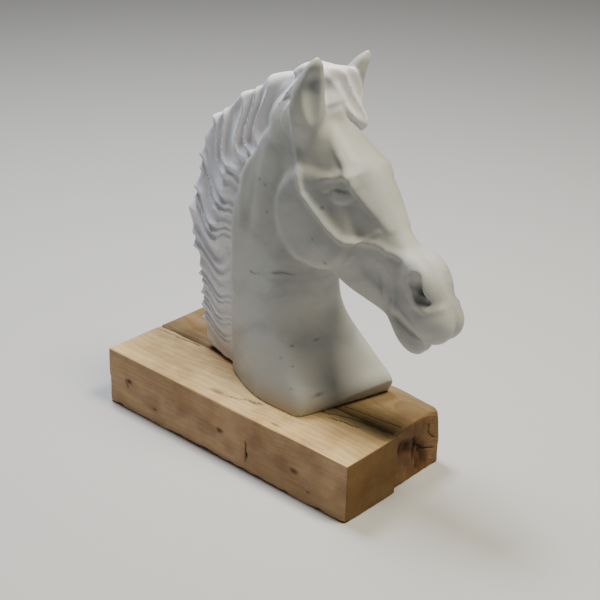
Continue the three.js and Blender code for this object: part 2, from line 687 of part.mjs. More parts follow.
  // True when moving one end of the edge to its new place folds over or flattens a face that stays.
  function folds(vertex, other, best) {
    for (const t of around[vertex]) {
      const corners = [face[3 * t], face[3 * t + 1], face[3 * t + 2]];
      if (corners.includes(other)) continue;
      const old = corners.map(place);
      const moved = corners.map((n, m) => (n === vertex ? best : old[m]));
      const oldNormal = normalOf(...old);
      const newNormal = normalOf(...moved);
      const oldFairness = fairness(old, oldNormal);
      const newFairness = fairness(moved, newNormal);
      if (newFairness < SLIVER && newFairness < oldFairness) return true;
      const turn = oldNormal[0] * newNormal[0] + oldNormal[1] * newNormal[1] + oldNormal[2] * newNormal[2];
      const limit = 0.2 * Math.hypot(...oldNormal) * Math.hypot(...newNormal);
      if (oldFairness > SLIVER && turn < limit) return true;
    }
    return false;
  }

  function collapse(a, b, best) {
    const nearA = neighbours(a);
    const nearB = neighbours(b);
    if (!nearA.has(b)) return;
    let shared = 0;
    for (const n of nearA) if (nearB.has(n)) shared++;
    if (shared !== 2 || folds(a, b, best) || folds(b, a, best)) return;
    for (let m = 0; m < 3; m++) position[3 * a + m] = best[m];
    for (let m = 0; m < 10; m++) quadric[a * 10 + m] += quadric[b * 10 + m];
    for (const t of around[b]) {
      const corners = [face[3 * t], face[3 * t + 1], face[3 * t + 2]];
      if (corners.includes(a)) {
        faceAlive[t] = 0;
        alive--;
        for (const n of corners) if (n !== b) around[n] = around[n].filter((other) => other !== t);
      } else {
        for (let m = 0; m < 3; m++) if (corners[m] === b) face[3 * t + m] = a;
        around[a].push(t);
      }
    }
    around[b] = [];
    stamp[b] = -1;
    stamp[a]++;
    for (const n of neighbours(a)) push(a, n);
  }

  // An edge that was refused may be free once its neighbours have gone, so the list is made again
  // until a pass brings little.
  for (let before = Infinity; alive > wanted && alive < 0.98 * before;) {
    before = alive;
    for (let a = 0; a < vertexCount; a++) {
      if (stamp[a] < 0) continue;
      for (const b of neighbours(a)) if (a < b) push(a, b);
    }
    while (alive > wanted && heap.length > 0) {
      const { a, b, best, when } = pop();
      if (stamp[a] >= 0 && stamp[b] >= 0 && stamp[a] + stamp[b] === when) collapse(a, b, best);
    }
  }

  const used = new Map();
  const out = { points: [], triangles: [] };
  for (let t = 0; t < faceAlive.length; t++) {
    if (!faceAlive[t]) continue;
    for (let m = 0; m < 3; m++) {
      const n = face[3 * t + m];
      if (!used.has(n)) {
        used.set(n, used.size);
        out.points.push(...place(n));
      }
      out.triangles.push(used.get(n));
    }
  }
  return out;
}

// Exact cuts and joins

function solidFromMesh({ points, triangles }) {
  return new wasm.Manifold(new wasm.Mesh({
    numProp: 3,
    vertProperties: Float32Array.from(points),
    triVerts: Uint32Array.from(triangles),
  }));
}

function solidFromGeometry(geometry) {
  const bare = geometry.clone();
  bare.deleteAttribute('normal');
  bare.deleteAttribute('uv');
  const welded = mergeVertices(bare, 1e-4);
  return solidFromMesh({ points: welded.attributes.position.array, triangles: welded.index.array });
}

function geometryFromSolid(solid) {
  const mesh = solid.getMesh();
  const geometry = new THREE.BufferGeometry();
  const points = new Float32Array(mesh.numVert * 3);
  for (let i = 0; i < mesh.numVert; i++) {
    for (let m = 0; m < 3; m++) points[3 * i + m] = mesh.vertProperties[i * mesh.numProp + m];
  }
  geometry.setAttribute('position', new THREE.BufferAttribute(points, 3));
  geometry.setIndex(new THREE.BufferAttribute(Uint32Array.from(mesh.triVerts), 1));
  return geometry;
}

// Moves the points that lie close to a plane onto it, so that a cut there leaves no tiny edges.
function settle(points, plane, reach) {
  const at = new THREE.Vector3();
  for (let i = 0; i < points.length; i += 3) {
    at.set(points[i], points[i + 1], points[i + 2]);
    if (Math.abs(plane.distanceToPoint(at)) < reach) plane.projectPoint(at.clone(), at);
    at.toArray(points, i);
  }
}

// The carving: its skin, thinned, with the foot sawn flat.
const SKIN_LOW = [-178, -78, -14];
const SKIN_HIGH = [290, 78, 460];
const SETTLE_REACH = 0.35;
function horseGeometry() {
  const skin = thin(skinOf(horse, SKIN_LOW, SKIN_HIGH, GRID_STEP), SKIN_TRIANGLES);
  const foot = new THREE.Plane(new THREE.Vector3(0, 0, 1), 0);
  settle(skin.points, foot, SETTLE_REACH);
  skin.points = skin.points.map((value) => value * SCALE);
  const block = new THREE.BoxGeometry(2 * HORSE_HEIGHT, HORSE_HEIGHT, 2 * HORSE_HEIGHT);
  block.translate(0, 0, HORSE_HEIGHT);
  return geometryFromSolid(solidFromMesh(skin).intersect(solidFromGeometry(block)));
}

// A beam with its long and end edges broken by the saw and by wear.
function beamGeometry(length) {
  const outline = new THREE.Shape();
  const half = BEAM_WIDTH / 2;
  const a = BEAM_ARRIS;
  outline.moveTo(-half + a, 0);
  outline.lineTo(half - a, 0);
  outline.lineTo(half, a);
  outline.lineTo(half, BEAM_HEIGHT - a);
  outline.lineTo(half - a, BEAM_HEIGHT);
  outline.lineTo(-half + a, BEAM_HEIGHT);
  outline.lineTo(-half, BEAM_HEIGHT - a);
  outline.lineTo(-half, a);
  outline.closePath();
  const bar = new THREE.ExtrudeGeometry(outline, { depth: length, bevelEnabled: false });
  bar.applyMatrix4(new THREE.Matrix4().makeBasis(
    new THREE.Vector3(0, 1, 0), new THREE.Vector3(0, 0, 1), new THREE.Vector3(1, 0, 0)));
  bar.translate(-length / 2, 0, 0);
  return geometryFromSolid(solidFromGeometry(bar));
}

const marble = new THREE.MeshStandardMaterial({ color: MARBLE_COLOUR, roughness: 0.45, metalness: 0 });
const wood = new THREE.MeshStandardMaterial({ color: WOOD_COLOUR, roughness: 0.8, metalness: 0 });

function named(name, geometry, material) {
  const mesh = new THREE.Mesh(geometry, material);
  mesh.name = name;
  return mesh;
}

const sculpture = new THREE.Group();
const seam = (BEAM_WIDTH + BEAM_GAP) / 2;

const nearBeam = named('near_beam', beamGeometry(BEAM_LENGTH), wood);
nearBeam.position.y = -seam;
const farBeam = named('far_beam', beamGeometry(BEAM_LENGTH - FAR_BEAM_SET_BACK), wood);
farBeam.position.set(-FAR_BEAM_SET_BACK / 2, seam, 0);
const horseHead = named('horse_head', horseGeometry(), marble);
horseHead.position.set(0, HORSE_SHIFT_Y, BEAM_HEIGHT + SEAT_GAP);
sculpture.add(nearBeam, farBeam, horseHead);

// The muzzle reaches past the beams, so the whole is moved until the origin is under its middle.
sculpture.updateMatrixWorld(true);
const middle = new THREE.Box3().setFromObject(sculpture, true).getCenter(new THREE.Vector3());
for (const piece of sculpture.children) piece.position.x -= middle.x;

export default sculpture;
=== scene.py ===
import bpy
import numpy as np
from mathutils import Matrix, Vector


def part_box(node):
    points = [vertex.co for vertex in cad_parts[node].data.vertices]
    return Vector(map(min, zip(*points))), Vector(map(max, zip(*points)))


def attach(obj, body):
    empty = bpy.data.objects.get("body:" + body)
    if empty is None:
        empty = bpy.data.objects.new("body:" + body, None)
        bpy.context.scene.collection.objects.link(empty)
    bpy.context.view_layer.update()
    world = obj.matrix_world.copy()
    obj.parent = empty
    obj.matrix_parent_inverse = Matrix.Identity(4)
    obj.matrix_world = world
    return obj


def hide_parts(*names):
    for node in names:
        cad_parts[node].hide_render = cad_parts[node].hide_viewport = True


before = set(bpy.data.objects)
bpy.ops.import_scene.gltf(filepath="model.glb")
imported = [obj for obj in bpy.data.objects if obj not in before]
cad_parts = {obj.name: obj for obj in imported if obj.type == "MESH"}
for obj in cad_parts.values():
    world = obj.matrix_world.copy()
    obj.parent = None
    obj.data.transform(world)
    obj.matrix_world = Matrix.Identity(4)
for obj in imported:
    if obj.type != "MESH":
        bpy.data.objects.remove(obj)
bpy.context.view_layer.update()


# The set, which is no part of the object: a pale painted floor under two soft studio lights.
# The camera stands about 1.8 m from the stand and looks down on it by 26 degrees. Its place, turn and
# lens were worked out from where the corners of the two beams lie in the picture.

near_low, near_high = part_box("near_beam")
MIDDLE_X = (near_low[0] + near_high[0]) / 2
CAMERA_PLACE = (1.0727 + MIDDLE_X, -1.1636, 0.9607)
CAMERA_YAW, CAMERA_PITCH, CAMERA_ROLL = np.radians([41.4348, 25.9149, 1.5706])
LENS_MM, SENSOR_MM = 84.0, 36
FLOOR_REACH = 14
FLOOR_DRIFT_MM = 500
SOFT_BOX_SIZE = 0.55
STUDIO_GLOW = 0.08


def linear(code):
    """An sRGB hex colour as linear red, green, blue and 1: ((c + 0.055) / 1.055) ** 2.4 above 0.04."""
    parts = np.array([int(code[i:i + 2], 16) for i in (1, 3, 5)]) / 255
    return (*np.where(parts > 0.04045, ((parts + 0.055) / 1.055) ** 2.4, parts / 12.92), 1.0)


def add(nodes, kind, settings=None, links=None):
    """One node: settings go to its properties or unlinked inputs, links join its inputs to outputs."""
    node = nodes.new("ShaderNode" + kind)
    for name, value in (settings or {}).items():
        if isinstance(name, int) or name in node.inputs:
            node.inputs[name].default_value = value
        else:
            setattr(node, name, value)
    for name, output in (links or {}).items():
        node.id_data.links.new(output, node.inputs[name])
    return node


def new_material(name):
    """An empty node material and its output node."""
    material = bpy.data.materials.new(name)
    material.use_nodes = True
    material.node_tree.nodes.clear()
    return material, material.node_tree.nodes, add(material.node_tree.nodes, "OutputMaterial")


def mix_colours(nodes, share, first, second, mode="MIX"):
    """first blended with second by share, each of them a node's output or a constant."""
    node = nodes.new("ShaderNodeMix")
    node.data_type, node.blend_type = "RGBA", mode
    for slot, value in ((0, share), (6, first), (7, second)):
        if isinstance(value, (float, tuple)):
            node.inputs[slot].default_value = value
        else:
            nodes.id_data.links.new(value, node.inputs[slot])
    return node.outputs[2]


def object_from(name, points, faces, material, weights=None):
    """A smooth mesh object from an array of points (metres), groups of faces and weights of its points."""
    mesh = bpy.data.meshes.new(name)
    mesh.from_pydata(points.tolist(), [], [face for group in faces for face in group.tolist()])
    mesh.polygons.foreach_set("use_smooth", np.full(len(mesh.polygons), True))
    for key, weight in (weights or {}).items():
        mesh.attributes.new(key, "FLOAT", "POINT").data.foreach_set("value", weight.astype(np.float32))
    mesh.materials.append(material)
    mesh.update()
    piece = bpy.data.objects.new(name, mesh)
    bpy.context.collection.objects.link(piece)
    return piece


# Matt floor paint, put on with a roller: it gives no shine, and its pale grey drifts by less than a
# shade over half a metre.
floor_paint, nodes, output = new_material("rolled_matt_floor_paint")
drift = add(nodes, "TexNoise", {"Scale": 1000 / FLOOR_DRIFT_MM, "Detail": 3.0})
tone = add(nodes, "ValToRGB", links={"Fac": drift.outputs["Fac"]})
tone.color_ramp.elements[0].color = linear("#c8c8c8")
tone.color_ramp.elements[1].color = linear("#cccccc")
paint = add(nodes, "BsdfPrincipled", {"Roughness": 0.9}, {"Base Color": tone.outputs["Color"]})
nodes.id_data.links.new(paint.outputs["BSDF"], output.inputs["Surface"])
floor_corners = FLOOR_REACH * np.array([[-1, -1, 0], [1, -1, 0], [1, 1, 0], [-1, 1, 0]], float)
floor = object_from("floor", floor_corners, [np.array([[0, 1, 2, 3]])], floor_paint)


def standing(x, y, z, place):
    """The matrix that turns an object's own axes to the columns x, y and z, and moves it to place."""
    rows = [[*row, at] for row, at in zip(np.stack([x, y, z], 1), place)]
    return Matrix([*rows, [0, 0, 0, 1]])


flat = np.cos(CAMERA_PITCH)
back = np.array([np.sin(CAMERA_YAW) * flat, -np.cos(CAMERA_YAW) * flat, np.sin(CAMERA_PITCH)])
level = np.array([np.cos(CAMERA_YAW), np.sin(CAMERA_YAW), 0])
rise = np.cross(back, level)
right = level * np.cos(CAMERA_ROLL) + rise * np.sin(CAMERA_ROLL)
up = rise * np.cos(CAMERA_ROLL) - level * np.sin(CAMERA_ROLL)
camera = bpy.data.objects.new("camera", bpy.data.cameras.new("camera"))
camera.data.sensor_width = SENSOR_MM
camera.data.lens = LENS_MM
camera.matrix_world = standing(right, up, back, CAMERA_PLACE)
bpy.context.collection.objects.link(camera)
bpy.context.scene.camera = camera


def soft_box(name, place, aim, power, colour):
    """A square area light at place, turned so that its -Z axis points at aim."""
    light = bpy.data.lights.new(name, "AREA")
    light.size, light.energy, light.color = SOFT_BOX_SIZE, power, linear(colour)[:3]
    lamp = bpy.data.objects.new(name, light)
    z = np.subtract(place, aim) / np.linalg.norm(np.subtract(place, aim))
    x = np.cross((0.1, 1, 0), z) / np.linalg.norm(np.cross((0.1, 1, 0), z))
    lamp.matrix_world = standing(x, np.cross(z, x), z, place)
    bpy.context.collection.objects.link(lamp)


soft_box("warm_light", place=(0.75, 0.2, 2.1), aim=(0.05, 0, 0.3), power=52, colour="#fcf3d6")
soft_box("cool_light", place=(-0.75, 0.1, 2.0), aim=(0, 0, 0.3), power=46, colour="#f1f5ff")
world = bpy.data.worlds.new("studio")
world.use_nodes = True
world.node_tree.nodes["Background"].inputs["Color"].default_value = linear("#f2f4f8")
world.node_tree.nodes["Background"].inputs["Strength"].default_value = STUDIO_GLOW
bpy.context.scene.world = world


# The near beam of the stand: a length of square softwood, sawn rough on all sides and left bare. It
# lies loose on the floor beside the far one, and nothing fixes the two together or to the stone. Its
# ends are cleanly sawn. It has knots on its side and top, and a few short checks from drying.

BEAM_STEP, END_RINGS = 1.6, 26
UNEVENNESS, SAW_RIPPLE, SAW_RIPPLE_MM, CRACK_DEPTH = 0.35, 0.12, 5.5, 1.6


def clamp(x, low, high):
    """x held between low and high."""
    return np.minimum(np.maximum(x, low), high)


def ease(x, a, b):
    """Smooth step from 0 at a to 1 at b: t * t * (3 - 2 t) with t = (x - a) / (b - a) held to 0..1."""
    t = clamp((x - a) / (b - a), 0, 1)
    return t * t * (3 - 2 * t)


def wander(x, y, seed, count=7):
    """Smooth unevenness, mostly between -1.5 and 1.5: seeded sines summed, over the root of their count."""
    rng = np.random.default_rng(seed)
    turn = rng.normal(size=(count, 2))
    phase = rng.uniform(0, 6.28, count)
    waves = [np.sin(a * x + b * y + c) for (a, b), c in zip(turn, phase)]
    return sum(waves) / np.sqrt(count)


def line_reach(a, b, stations):
    """Distance in a plane from points (a, b) to the nearest stretch of a line through stations."""
    best = np.full(np.shape(a), np.inf)
    for p, q in zip(stations, stations[1:]):
        ex, ey = q[0] - p[0], q[1] - p[1]
        h = clamp(((a - p[0]) * ex + (b - p[1]) * ey) / (ex * ex + ey * ey), 0, 1)
        best = np.minimum(best, np.hypot(a - p[0] - h * ex, b - p[1] - h * ey))
    return best


def gathered(t, share):
    """t from 0 to 1, drawn towards both ends: (1 - share) t + share (1 - cos(pi t)) / 2."""
    return (1 - share) * t + share * (0.5 - 0.5 * np.cos(np.pi * t))


def beam_skin(low, high):
    """A closed box as a grid: rings round X, gathered at the corners, and end faces of shrinking rings.

    Returns the points about the box's middle, the squares, the triangles that close the middle of
    each end, and the box's half size and middle, all in millimetres.
    """
    half = (high - low) / 2
    middle = (high + low) / 2
    sides = []
    for start, end in (((-1, -1), (1, -1)), ((1, -1), (1, 1)), ((1, 1), (-1, 1)), ((-1, 1), (-1, -1))):
        start, end = np.array(start) * half[1:], np.array(end) * half[1:]
        number = int(np.linalg.norm(end - start) / BEAM_STEP)
        t = gathered(np.arange(number) / number, 0.55)
        sides.append(start + (end - start) * t[:, None])
    ring = np.concatenate(sides)
    t = gathered(np.linspace(0, 1, int(2 * half[0] / (1.25 * BEAM_STEP))), 0.2)
    along = (2 * t - 1) * half[0]
    shrink = 1 - (np.arange(END_RINGS) / END_RINGS) ** 1.3
    x = np.concatenate([np.full(END_RINGS - 1, -half[0]), along, np.full(END_RINGS - 1, half[0])])
    share = np.concatenate([shrink[:0:-1], np.ones(len(along)), shrink[1:]])
    rows, count = len(x), len(ring)
    points = np.empty((rows, count, 3))
    points[..., 0] = x[:, None]
    points[..., 1:] = ring * share[:, None, None]
    index = np.arange(rows * count).reshape(rows, count)
    across = np.roll(index, -1, 1)
    faces = np.stack([index[:-1], index[1:], across[1:], across[:-1]], -1).reshape(-1, 4)
    tips = np.array([[-half[0], 0, 0], [half[0], 0, 0]])
    first, last = rows * count, rows * count + 1
    caps = np.concatenate([np.stack([np.full(count, first), index[0], across[0]], 1),
                           np.stack([np.full(count, last), across[-1], index[-1]], 1)])
    return np.concatenate([points.reshape(-1, 3), tips]), faces, caps, half, middle


def sawn_beam(name, node, seed, corner_radius, hollow, stains_and_seam_shade, cracks, tone):
    """A beam p = q_in + r * (q - q_in) / |q - q_in|, where q is on the box and q_in is q held r inside it.

    corner_radius gives r at a point of the box, hollow the depth of losses, and the next two the weights
    of their colours: knots, smudges and rot with painted shade along the seam, and cracks painted dark as
    the shade inside them. All are called with points about the box's middle and its half size.
    """
    low, high = (np.array(corner) * 1000 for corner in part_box(node))
    q, faces, caps, half, middle = beam_skin(low, high)
    r = corner_radius(q, half)[:, None]
    inner = clamp(q, -(half - r), half - r)
    out = q - inner
    reach = np.linalg.norm(out, axis=1)[:, None]
    normal = out / np.maximum(reach, 1e-6)
    flat = (np.abs(q) > half - 1e-4) * np.sign(q)
    normal = np.where(reach > 1e-6, normal, flat)
    p = np.where(reach > 1e-6, inner + r * normal, q)
    uneven = UNEVENNESS * (1 + wander(q[:, 0] / 40, (q[:, 1] + 2 * q[:, 2]) / 25, seed))
    slant = 1.5 * wander(q[:, 0] / 30, q[:, 2] / 30, seed + 1)
    sawing = SAW_RIPPLE * np.sin(q[:, 0] * 2 * np.pi / SAW_RIPPLE_MM + slant)
    depth = clamp(uneven + sawing, 0, 2) + hollow(p, normal, half)
    p = p - normal * depth[:, None]
    crack = cracks(p, normal, half)
    p = p - normal * (CRACK_DEPTH * crack)[:, None]
    return object_from(name, (p + middle) / 1000, [faces, caps], tone, {
        "end_grain": ease(np.abs(normal[:, 0]), 0.55, 0.85), "top_face": ease(normal[:, 2], 0.5, 0.85),
        "stain_and_seam_shade": clamp(stains_and_seam_shade(p, normal, half), 0, 1), "crack": crack})


# Old pine, left rough from the saw: it gives the eye warm bands where the growth rings are cut, fine
# fibres along the beam, faint marks across it where the saw passed, greyer weathered patches, dark
# stains, and no shine. Its cracks are painted near black, painted shade inside them, and a strip of
# painted shade lies along the seam between the beams. Each top is painted in colours of its own:
# painted light on the near beam, painted shade on the far one. Growth rings are 5 mm apart. Real
# fibres are far finer than a tenth of a millimetre and are drawn as bundles 1.6 mm wide, which is as
# fine as the picture shows.
RING_MM = 5.0
SWAY_MM = (182, 71.4, 71.4)
SWAY_SPAN, SWAY_START = (0, 0.03, 0.03), (0, -0.015, -0.015)
FIBRE_MM = (35.7, 1.613, 1.613)
BLOTCH_MM = 71.4
PATCH_MM = (143, 33.3, 33.3)
SAW_MARK_MM = 2.513
FIBRE_COLOUR, BLOTCH_COLOUR, WEATHERED_COLOUR = "#7a5735", "#a4885a", "#7d6a4a"
# the stain colour also paints the shade along the seam; the crack colour is painted shade inside the cracks
STAIN_AND_SHADE_COLOUR, CRACK_SHADE_COLOUR = "#4f3019", "#20150d"


def per_metre(*sizes):
    """How many of each size in millimetres go into a metre, which is the scale of a pattern."""
    return tuple(1000 / size for size in sizes)


def wave_scale(size):
    """The Scale at which Blender's wave repeats every size millimetres: pi / 10 over the size in metres."""
    return np.pi / 10 / (size / 1000)


def sawn_softwood(name, pith, side, top, end):
    """Rings round a pith line along X, with fibres, saw marks, patches, knots, smudges and rot laid over
    them, and painted shade along the seam and in the cracks.

    pith is the line's y and z in metres. side, top and end are each the colours of the early and the
    late wood; top is painted lighter than side on the near beam as painted light, and darker on the far
    beam as painted shade. Each layer is colour + share * (layer's colour - colour), its share a noise or
    a weight.
    """
    material, nodes, output = new_material(name)
    place = add(nodes, "TexCoord").outputs["Object"]
    # the pith wanders a little along the beam, so the grain on the faces isn't straight
    slow = add(nodes, "Mapping", {"Scale": per_metre(*SWAY_MM)}, {"Vector": place}).outputs["Vector"]
    sway = add(nodes, "TexNoise", {"Scale": 1.0, "Detail": 2.0, "Roughness": 0.5}, {"Vector": slow})
    swing = add(nodes, "VectorMath", {"operation": "MULTIPLY_ADD", 1: SWAY_SPAN, 2: SWAY_START},
                {0: sway.outputs["Color"]})
    bent = add(nodes, "VectorMath", {"operation": "ADD"}, {0: place, 1: swing.outputs["Vector"]})
    centred = add(nodes, "Mapping", {"Location": (0, -pith[0], -pith[1])}, {"Vector": bent.outputs["Vector"]})
    rings = add(nodes, "TexWave", {"wave_type": "RINGS", "rings_direction": "X", "wave_profile": "SAW",
                                   "Scale": wave_scale(RING_MM), "Distortion": 0.8, "Detail": 2.0,
                                   "Detail Scale": 1.5}, {"Vector": centred.outputs["Vector"]})
    along_grain = add(nodes, "Mapping", {"Scale": per_metre(*FIBRE_MM)}, {"Vector": place}).outputs["Vector"]
    fibre = add(nodes, "TexNoise", {"Scale": 1.0, "Detail": 4.0, "Roughness": 0.65}, {"Vector": along_grain})
    blotch = add(nodes, "TexNoise", {"Scale": 1000 / BLOTCH_MM, "Detail": 5.0, "Roughness": 0.6},
                 {"Vector": place})
    # the saw went through a little slanted
    marks = add(nodes, "TexWave", {"wave_type": "BANDS", "bands_direction": "X",
                                   "Scale": wave_scale(SAW_MARK_MM), "Distortion": 2.2, "Detail": 3.0,
                                   "Detail Scale": 0.6}, {
        "Vector": add(nodes, "Mapping", {"Rotation": (0, 0.12, 0.05)}, {"Vector": place}).outputs["Vector"]})
    end_grain, top_face, stain_and_seam_shade, crack = (add(nodes, "Attribute", {"attribute_name": key}).outputs["Fac"]
                                         for key in ("end_grain", "top_face", "stain_and_seam_shade", "crack"))
    late = add(nodes, "MapRange", {"From Min": 0.1, "From Max": 1.0, "To Max": 0.62},
               {"Value": rings.outputs["Fac"]}).outputs["Result"]
    side, top, end = (mix_colours(nodes, late, linear(early_wood), linear(late_wood))
                      for early_wood, late_wood in (side, top, end))
    # each top takes colours of its own: painted light on the near beam, painted shade on the far one
    colour = mix_colours(nodes, end_grain, mix_colours(nodes, top_face, side, top), end)
    fibre_share = add(nodes, "MapRange", {"From Min": 0.42, "From Max": 0.7, "To Max": 0.26},
                      {"Value": fibre.outputs["Fac"]}).outputs["Result"]
    colour = mix_colours(nodes, fibre_share, colour, linear(FIBRE_COLOUR))
    blotch_share = add(nodes, "MapRange", {"From Min": 0.42, "From Max": 0.7, "To Max": 0.55},
                       {"Value": blotch.outputs["Fac"]}).outputs["Result"]
    colour = mix_colours(nodes, blotch_share, colour, linear(BLOTCH_COLOUR), "MULTIPLY")
    # the weathered patches are drawn out along the beam
    drawn_out = add(nodes, "Mapping", {"Scale": per_metre(*PATCH_MM)}, {"Vector": place}).outputs["Vector"]
    patch = add(nodes, "TexNoise", {"Scale": 1.0, "Detail": 3.0, "Roughness": 0.55}, {"Vector": drawn_out})
    patch_share = add(nodes, "MapRange", {"From Min": 0.48, "From Max": 0.68, "To Max": 0.3},
                      {"Value": patch.outputs["Fac"]}).outputs["Result"]
    colour = mix_colours(nodes, patch_share, colour, linear(WEATHERED_COLOUR))
    # knots, smudges and rot, and painted shade along the seam between the beams
    colour = mix_colours(nodes, stain_and_seam_shade, colour, linear(STAIN_AND_SHADE_COLOUR))
    # the cracks are painted near black: painted shade inside them
    colour = mix_colours(nodes, crack, colour, linear(CRACK_SHADE_COLOUR))
    rough = add(nodes, "MapRange", {"To Min": 0.62, "To Max": 0.85}, {"Value": fibre.outputs["Fac"]})
    height = add(nodes, "Math", {"operation": "MULTIPLY_ADD", 1: 0.6}, {
        0: fibre.outputs["Fac"],
        2: add(nodes, "Math", {"operation": "MULTIPLY", 1: 0.35}, {0: marks.outputs["Fac"]}).outputs[0]})
    bump = add(nodes, "Bump", {"Strength": 0.5, "Distance": 0.0008}, {"Height": height.outputs[0]})
    shader = add(nodes, "BsdfPrincipled", {"IOR": 1.5, "Specular IOR Level": 0.3}, {
        "Base Color": colour, "Roughness": rough.outputs["Result"], "Normal": bump.outputs["Normal"]})
    nodes.id_data.links.new(shader.outputs["BSDF"], output.inputs["Surface"])
    return material


# Knots and checks lie as in the picture: x from the beam's middle, y from the seam between the beams and
# z from the floor. A knot on the side is (x, z, radius), and one on top is (x, y, half length, half width).
NEAR_MIDDLE_Y = (near_low[1] + near_high[1]) / 2 * 1000
NEAR_ARRIS = 2.4
NEAR_PITH = (0.035, -0.07)
# the top's colours are the side's pine painted lighter: painted light on the top
NEAR_SIDE_COLOURS, NEAR_LIT_TOP_COLOURS, NEAR_END_COLOURS = (
    ("#c2a07a", "#b5946c"), ("#e3c590", "#caa469"), ("#7c5d31", "#644720"))
NEAR_KNOTS = [(-169, 45, 3.2), (0, 41, 3.6), (127, 38, 4.0), (150, 18, 1.6), (-120, 22, 1.8)]
NEAR_TOP_KNOTS = [(-23, -75, 5.0, 2.2), (30, -64, 3.0, 1.5), (85, -84, 3.0, 1.4)]
NEAR_TOP_CRACKS = [[(-8, -75), (10, -68), (28, -61), (42, -56.7)],
                   [(-205, -9), (-180, -8), (-157, -6), (-128, -4)],
                   [(100, -21), (118, -14), (132, -9), (150, -4), (190, -3)],
                   [(120, -24), (140, -20), (162, -17)]]
NEAR_SIDE_CRACKS = [[(45, 45), (46, 33), (45, 14)], [(47, 30), (49, 20)], [(-176, 44), (-172, 36)]]


def near_radius(q, half):
    """About 2.4 mm, uneven, and about 1.2 mm more along the lower near edge, which is rougher."""
    lower = (q[:, 2] < 0) & (q[:, 1] < 0)
    ragged = 0.8 * wander(q[:, 0] / 18, q[:, 1] / 30, 3)
    return NEAR_ARRIS + ragged + np.where(lower, 1.2 + wander(q[:, 0] / 6, 0, 4), 0)


def near_losses(p, normal, half):
    """Small bites out of the lower near edge, as deep as an uneven line along X is above zero."""
    lower = ease(-p[:, 2], half[2] - 7, half[2]) * ease(-p[:, 1], half[1] - 6, half[1])
    return lower * clamp(1.6 * wander(p[:, 0] / 7, 0, 8), 0, 3)


def near_stains_and_seam_shade(p, normal, half):
    """Knots, exp(-q * q) with q the squared distance in half axes, a few smudges, and painted shade on the
    top by the seam.
    """
    x, y, z = p[:, 0], p[:, 1] + NEAR_MIDDLE_Y, p[:, 2] + half[2]
    side = ease(-normal[:, 1], 0.5, 0.8)
    top = ease(normal[:, 2], 0.5, 0.8)
    weight = np.zeros(len(p))
    for kx, kz, size in NEAR_KNOTS:
        q = ((x - kx) / (1.7 * size)) ** 2 + ((z - kz) / size) ** 2
        weight = np.maximum(weight, side * np.exp(-q * q) * 0.85)
    for kx, ky, rx, ry in NEAR_TOP_KNOTS:
        q = ((x - kx) / (2.6 * rx)) ** 2 + ((y - ky) / (1.8 * ry)) ** 2
        weight = np.maximum(weight, top * np.exp(-q * q) * 0.6)
    weight += 0.25 * side * clamp(wander(x / 14, p[:, 2] / 9, 12) - 0.35, 0, 1)
    # painted shade on the top along the seam between the beams
    return weight + 0.3 * top * ease(y, -14, -1) * clamp(0.4 + wander(x / 25, 0, 6), 0, 1)


def near_cracks(p, normal, half):
    """1 in the middle of a crack and 0 from 1.3 mm away on top, or 1.1 mm on the side."""
    x, y, z = p[:, 0], p[:, 1] + NEAR_MIDDLE_Y, p[:, 2] + half[2]
    ragged = 0.8 * wander(x / 5, 0, 21)
    top = sum(1 - ease(line_reach(x, y + ragged, line), 0.2, 1.3) for line in NEAR_TOP_CRACKS)
    side = sum(1 - ease(line_reach(x, z, line), 0.2, 1.1) for line in NEAR_SIDE_CRACKS)
    return clamp(top * ease(normal[:, 2], 0.5, 0.8) + side * ease(-normal[:, 1], 0.5, 0.8), 0, 1)


near_wood = sawn_softwood("rough_sawn_pine_near", NEAR_PITH, NEAR_SIDE_COLOURS, NEAR_LIT_TOP_COLOURS,
                          NEAR_END_COLOURS)
near_timber = sawn_beam("near_timber", "near_beam", 5, near_radius, near_losses, near_stains_and_seam_shade, near_cracks,
                        near_wood)
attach(near_timber, "root")
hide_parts("near_beam")


# The far beam: a second length of the same sawn softwood, laid against the near one and 6 mm shorter
# at the front. It is greyer and more weathered, and its top is painted darker still: painted shade for
# the head's shadow on it. Its front end is worn round at the top, and the end grain has cracked and
# rotted into a hollow. Its marks are placed from the beam's own middle.

FAR_PITH = (0.06, -0.03)
# the top's colours are the pine painted darker: painted shade for the head's shadow on the top
FAR_SIDE_COLOURS, FAR_SHADED_TOP_COLOURS, FAR_END_COLOURS = (
    ("#b39a70", "#9a7c55"), ("#8e7855", "#775e3c"), ("#8b6840", "#614527"))
FAR_ARRIS, FAR_WORN, HOLLOW_DEPTH = 3, 9, 6.5
FAR_TOP_CRACK = [(120, -38), (150, -34), (185, -30), (200, -28)]
END_HOLLOW = [(-30, 12), (-8, 6), (6, -8), (10, -26)]
END_CRACKS = [[(-6, 18), (2, 4), (16, -8), (34, -14)], [(2, 4), (-10, -14)], [(20, 26), (26, 8), (36, 0)]]


def far_radius(q, half):
    """3 mm, growing to about 12 mm towards the front end's top, and most at its far corner."""
    front = ease(q[:, 0], half[0] - 75, half[0] - 5)
    high = ease(q[:, 2], -10, half[2])
    far_side = ease(q[:, 1], -10, half[1])
    ragged = 0.8 * wander(q[:, 0] / 16, q[:, 1] / 20, 31)
    return FAR_ARRIS + ragged + FAR_WORN * front * high * (0.35 + 0.65 * far_side)


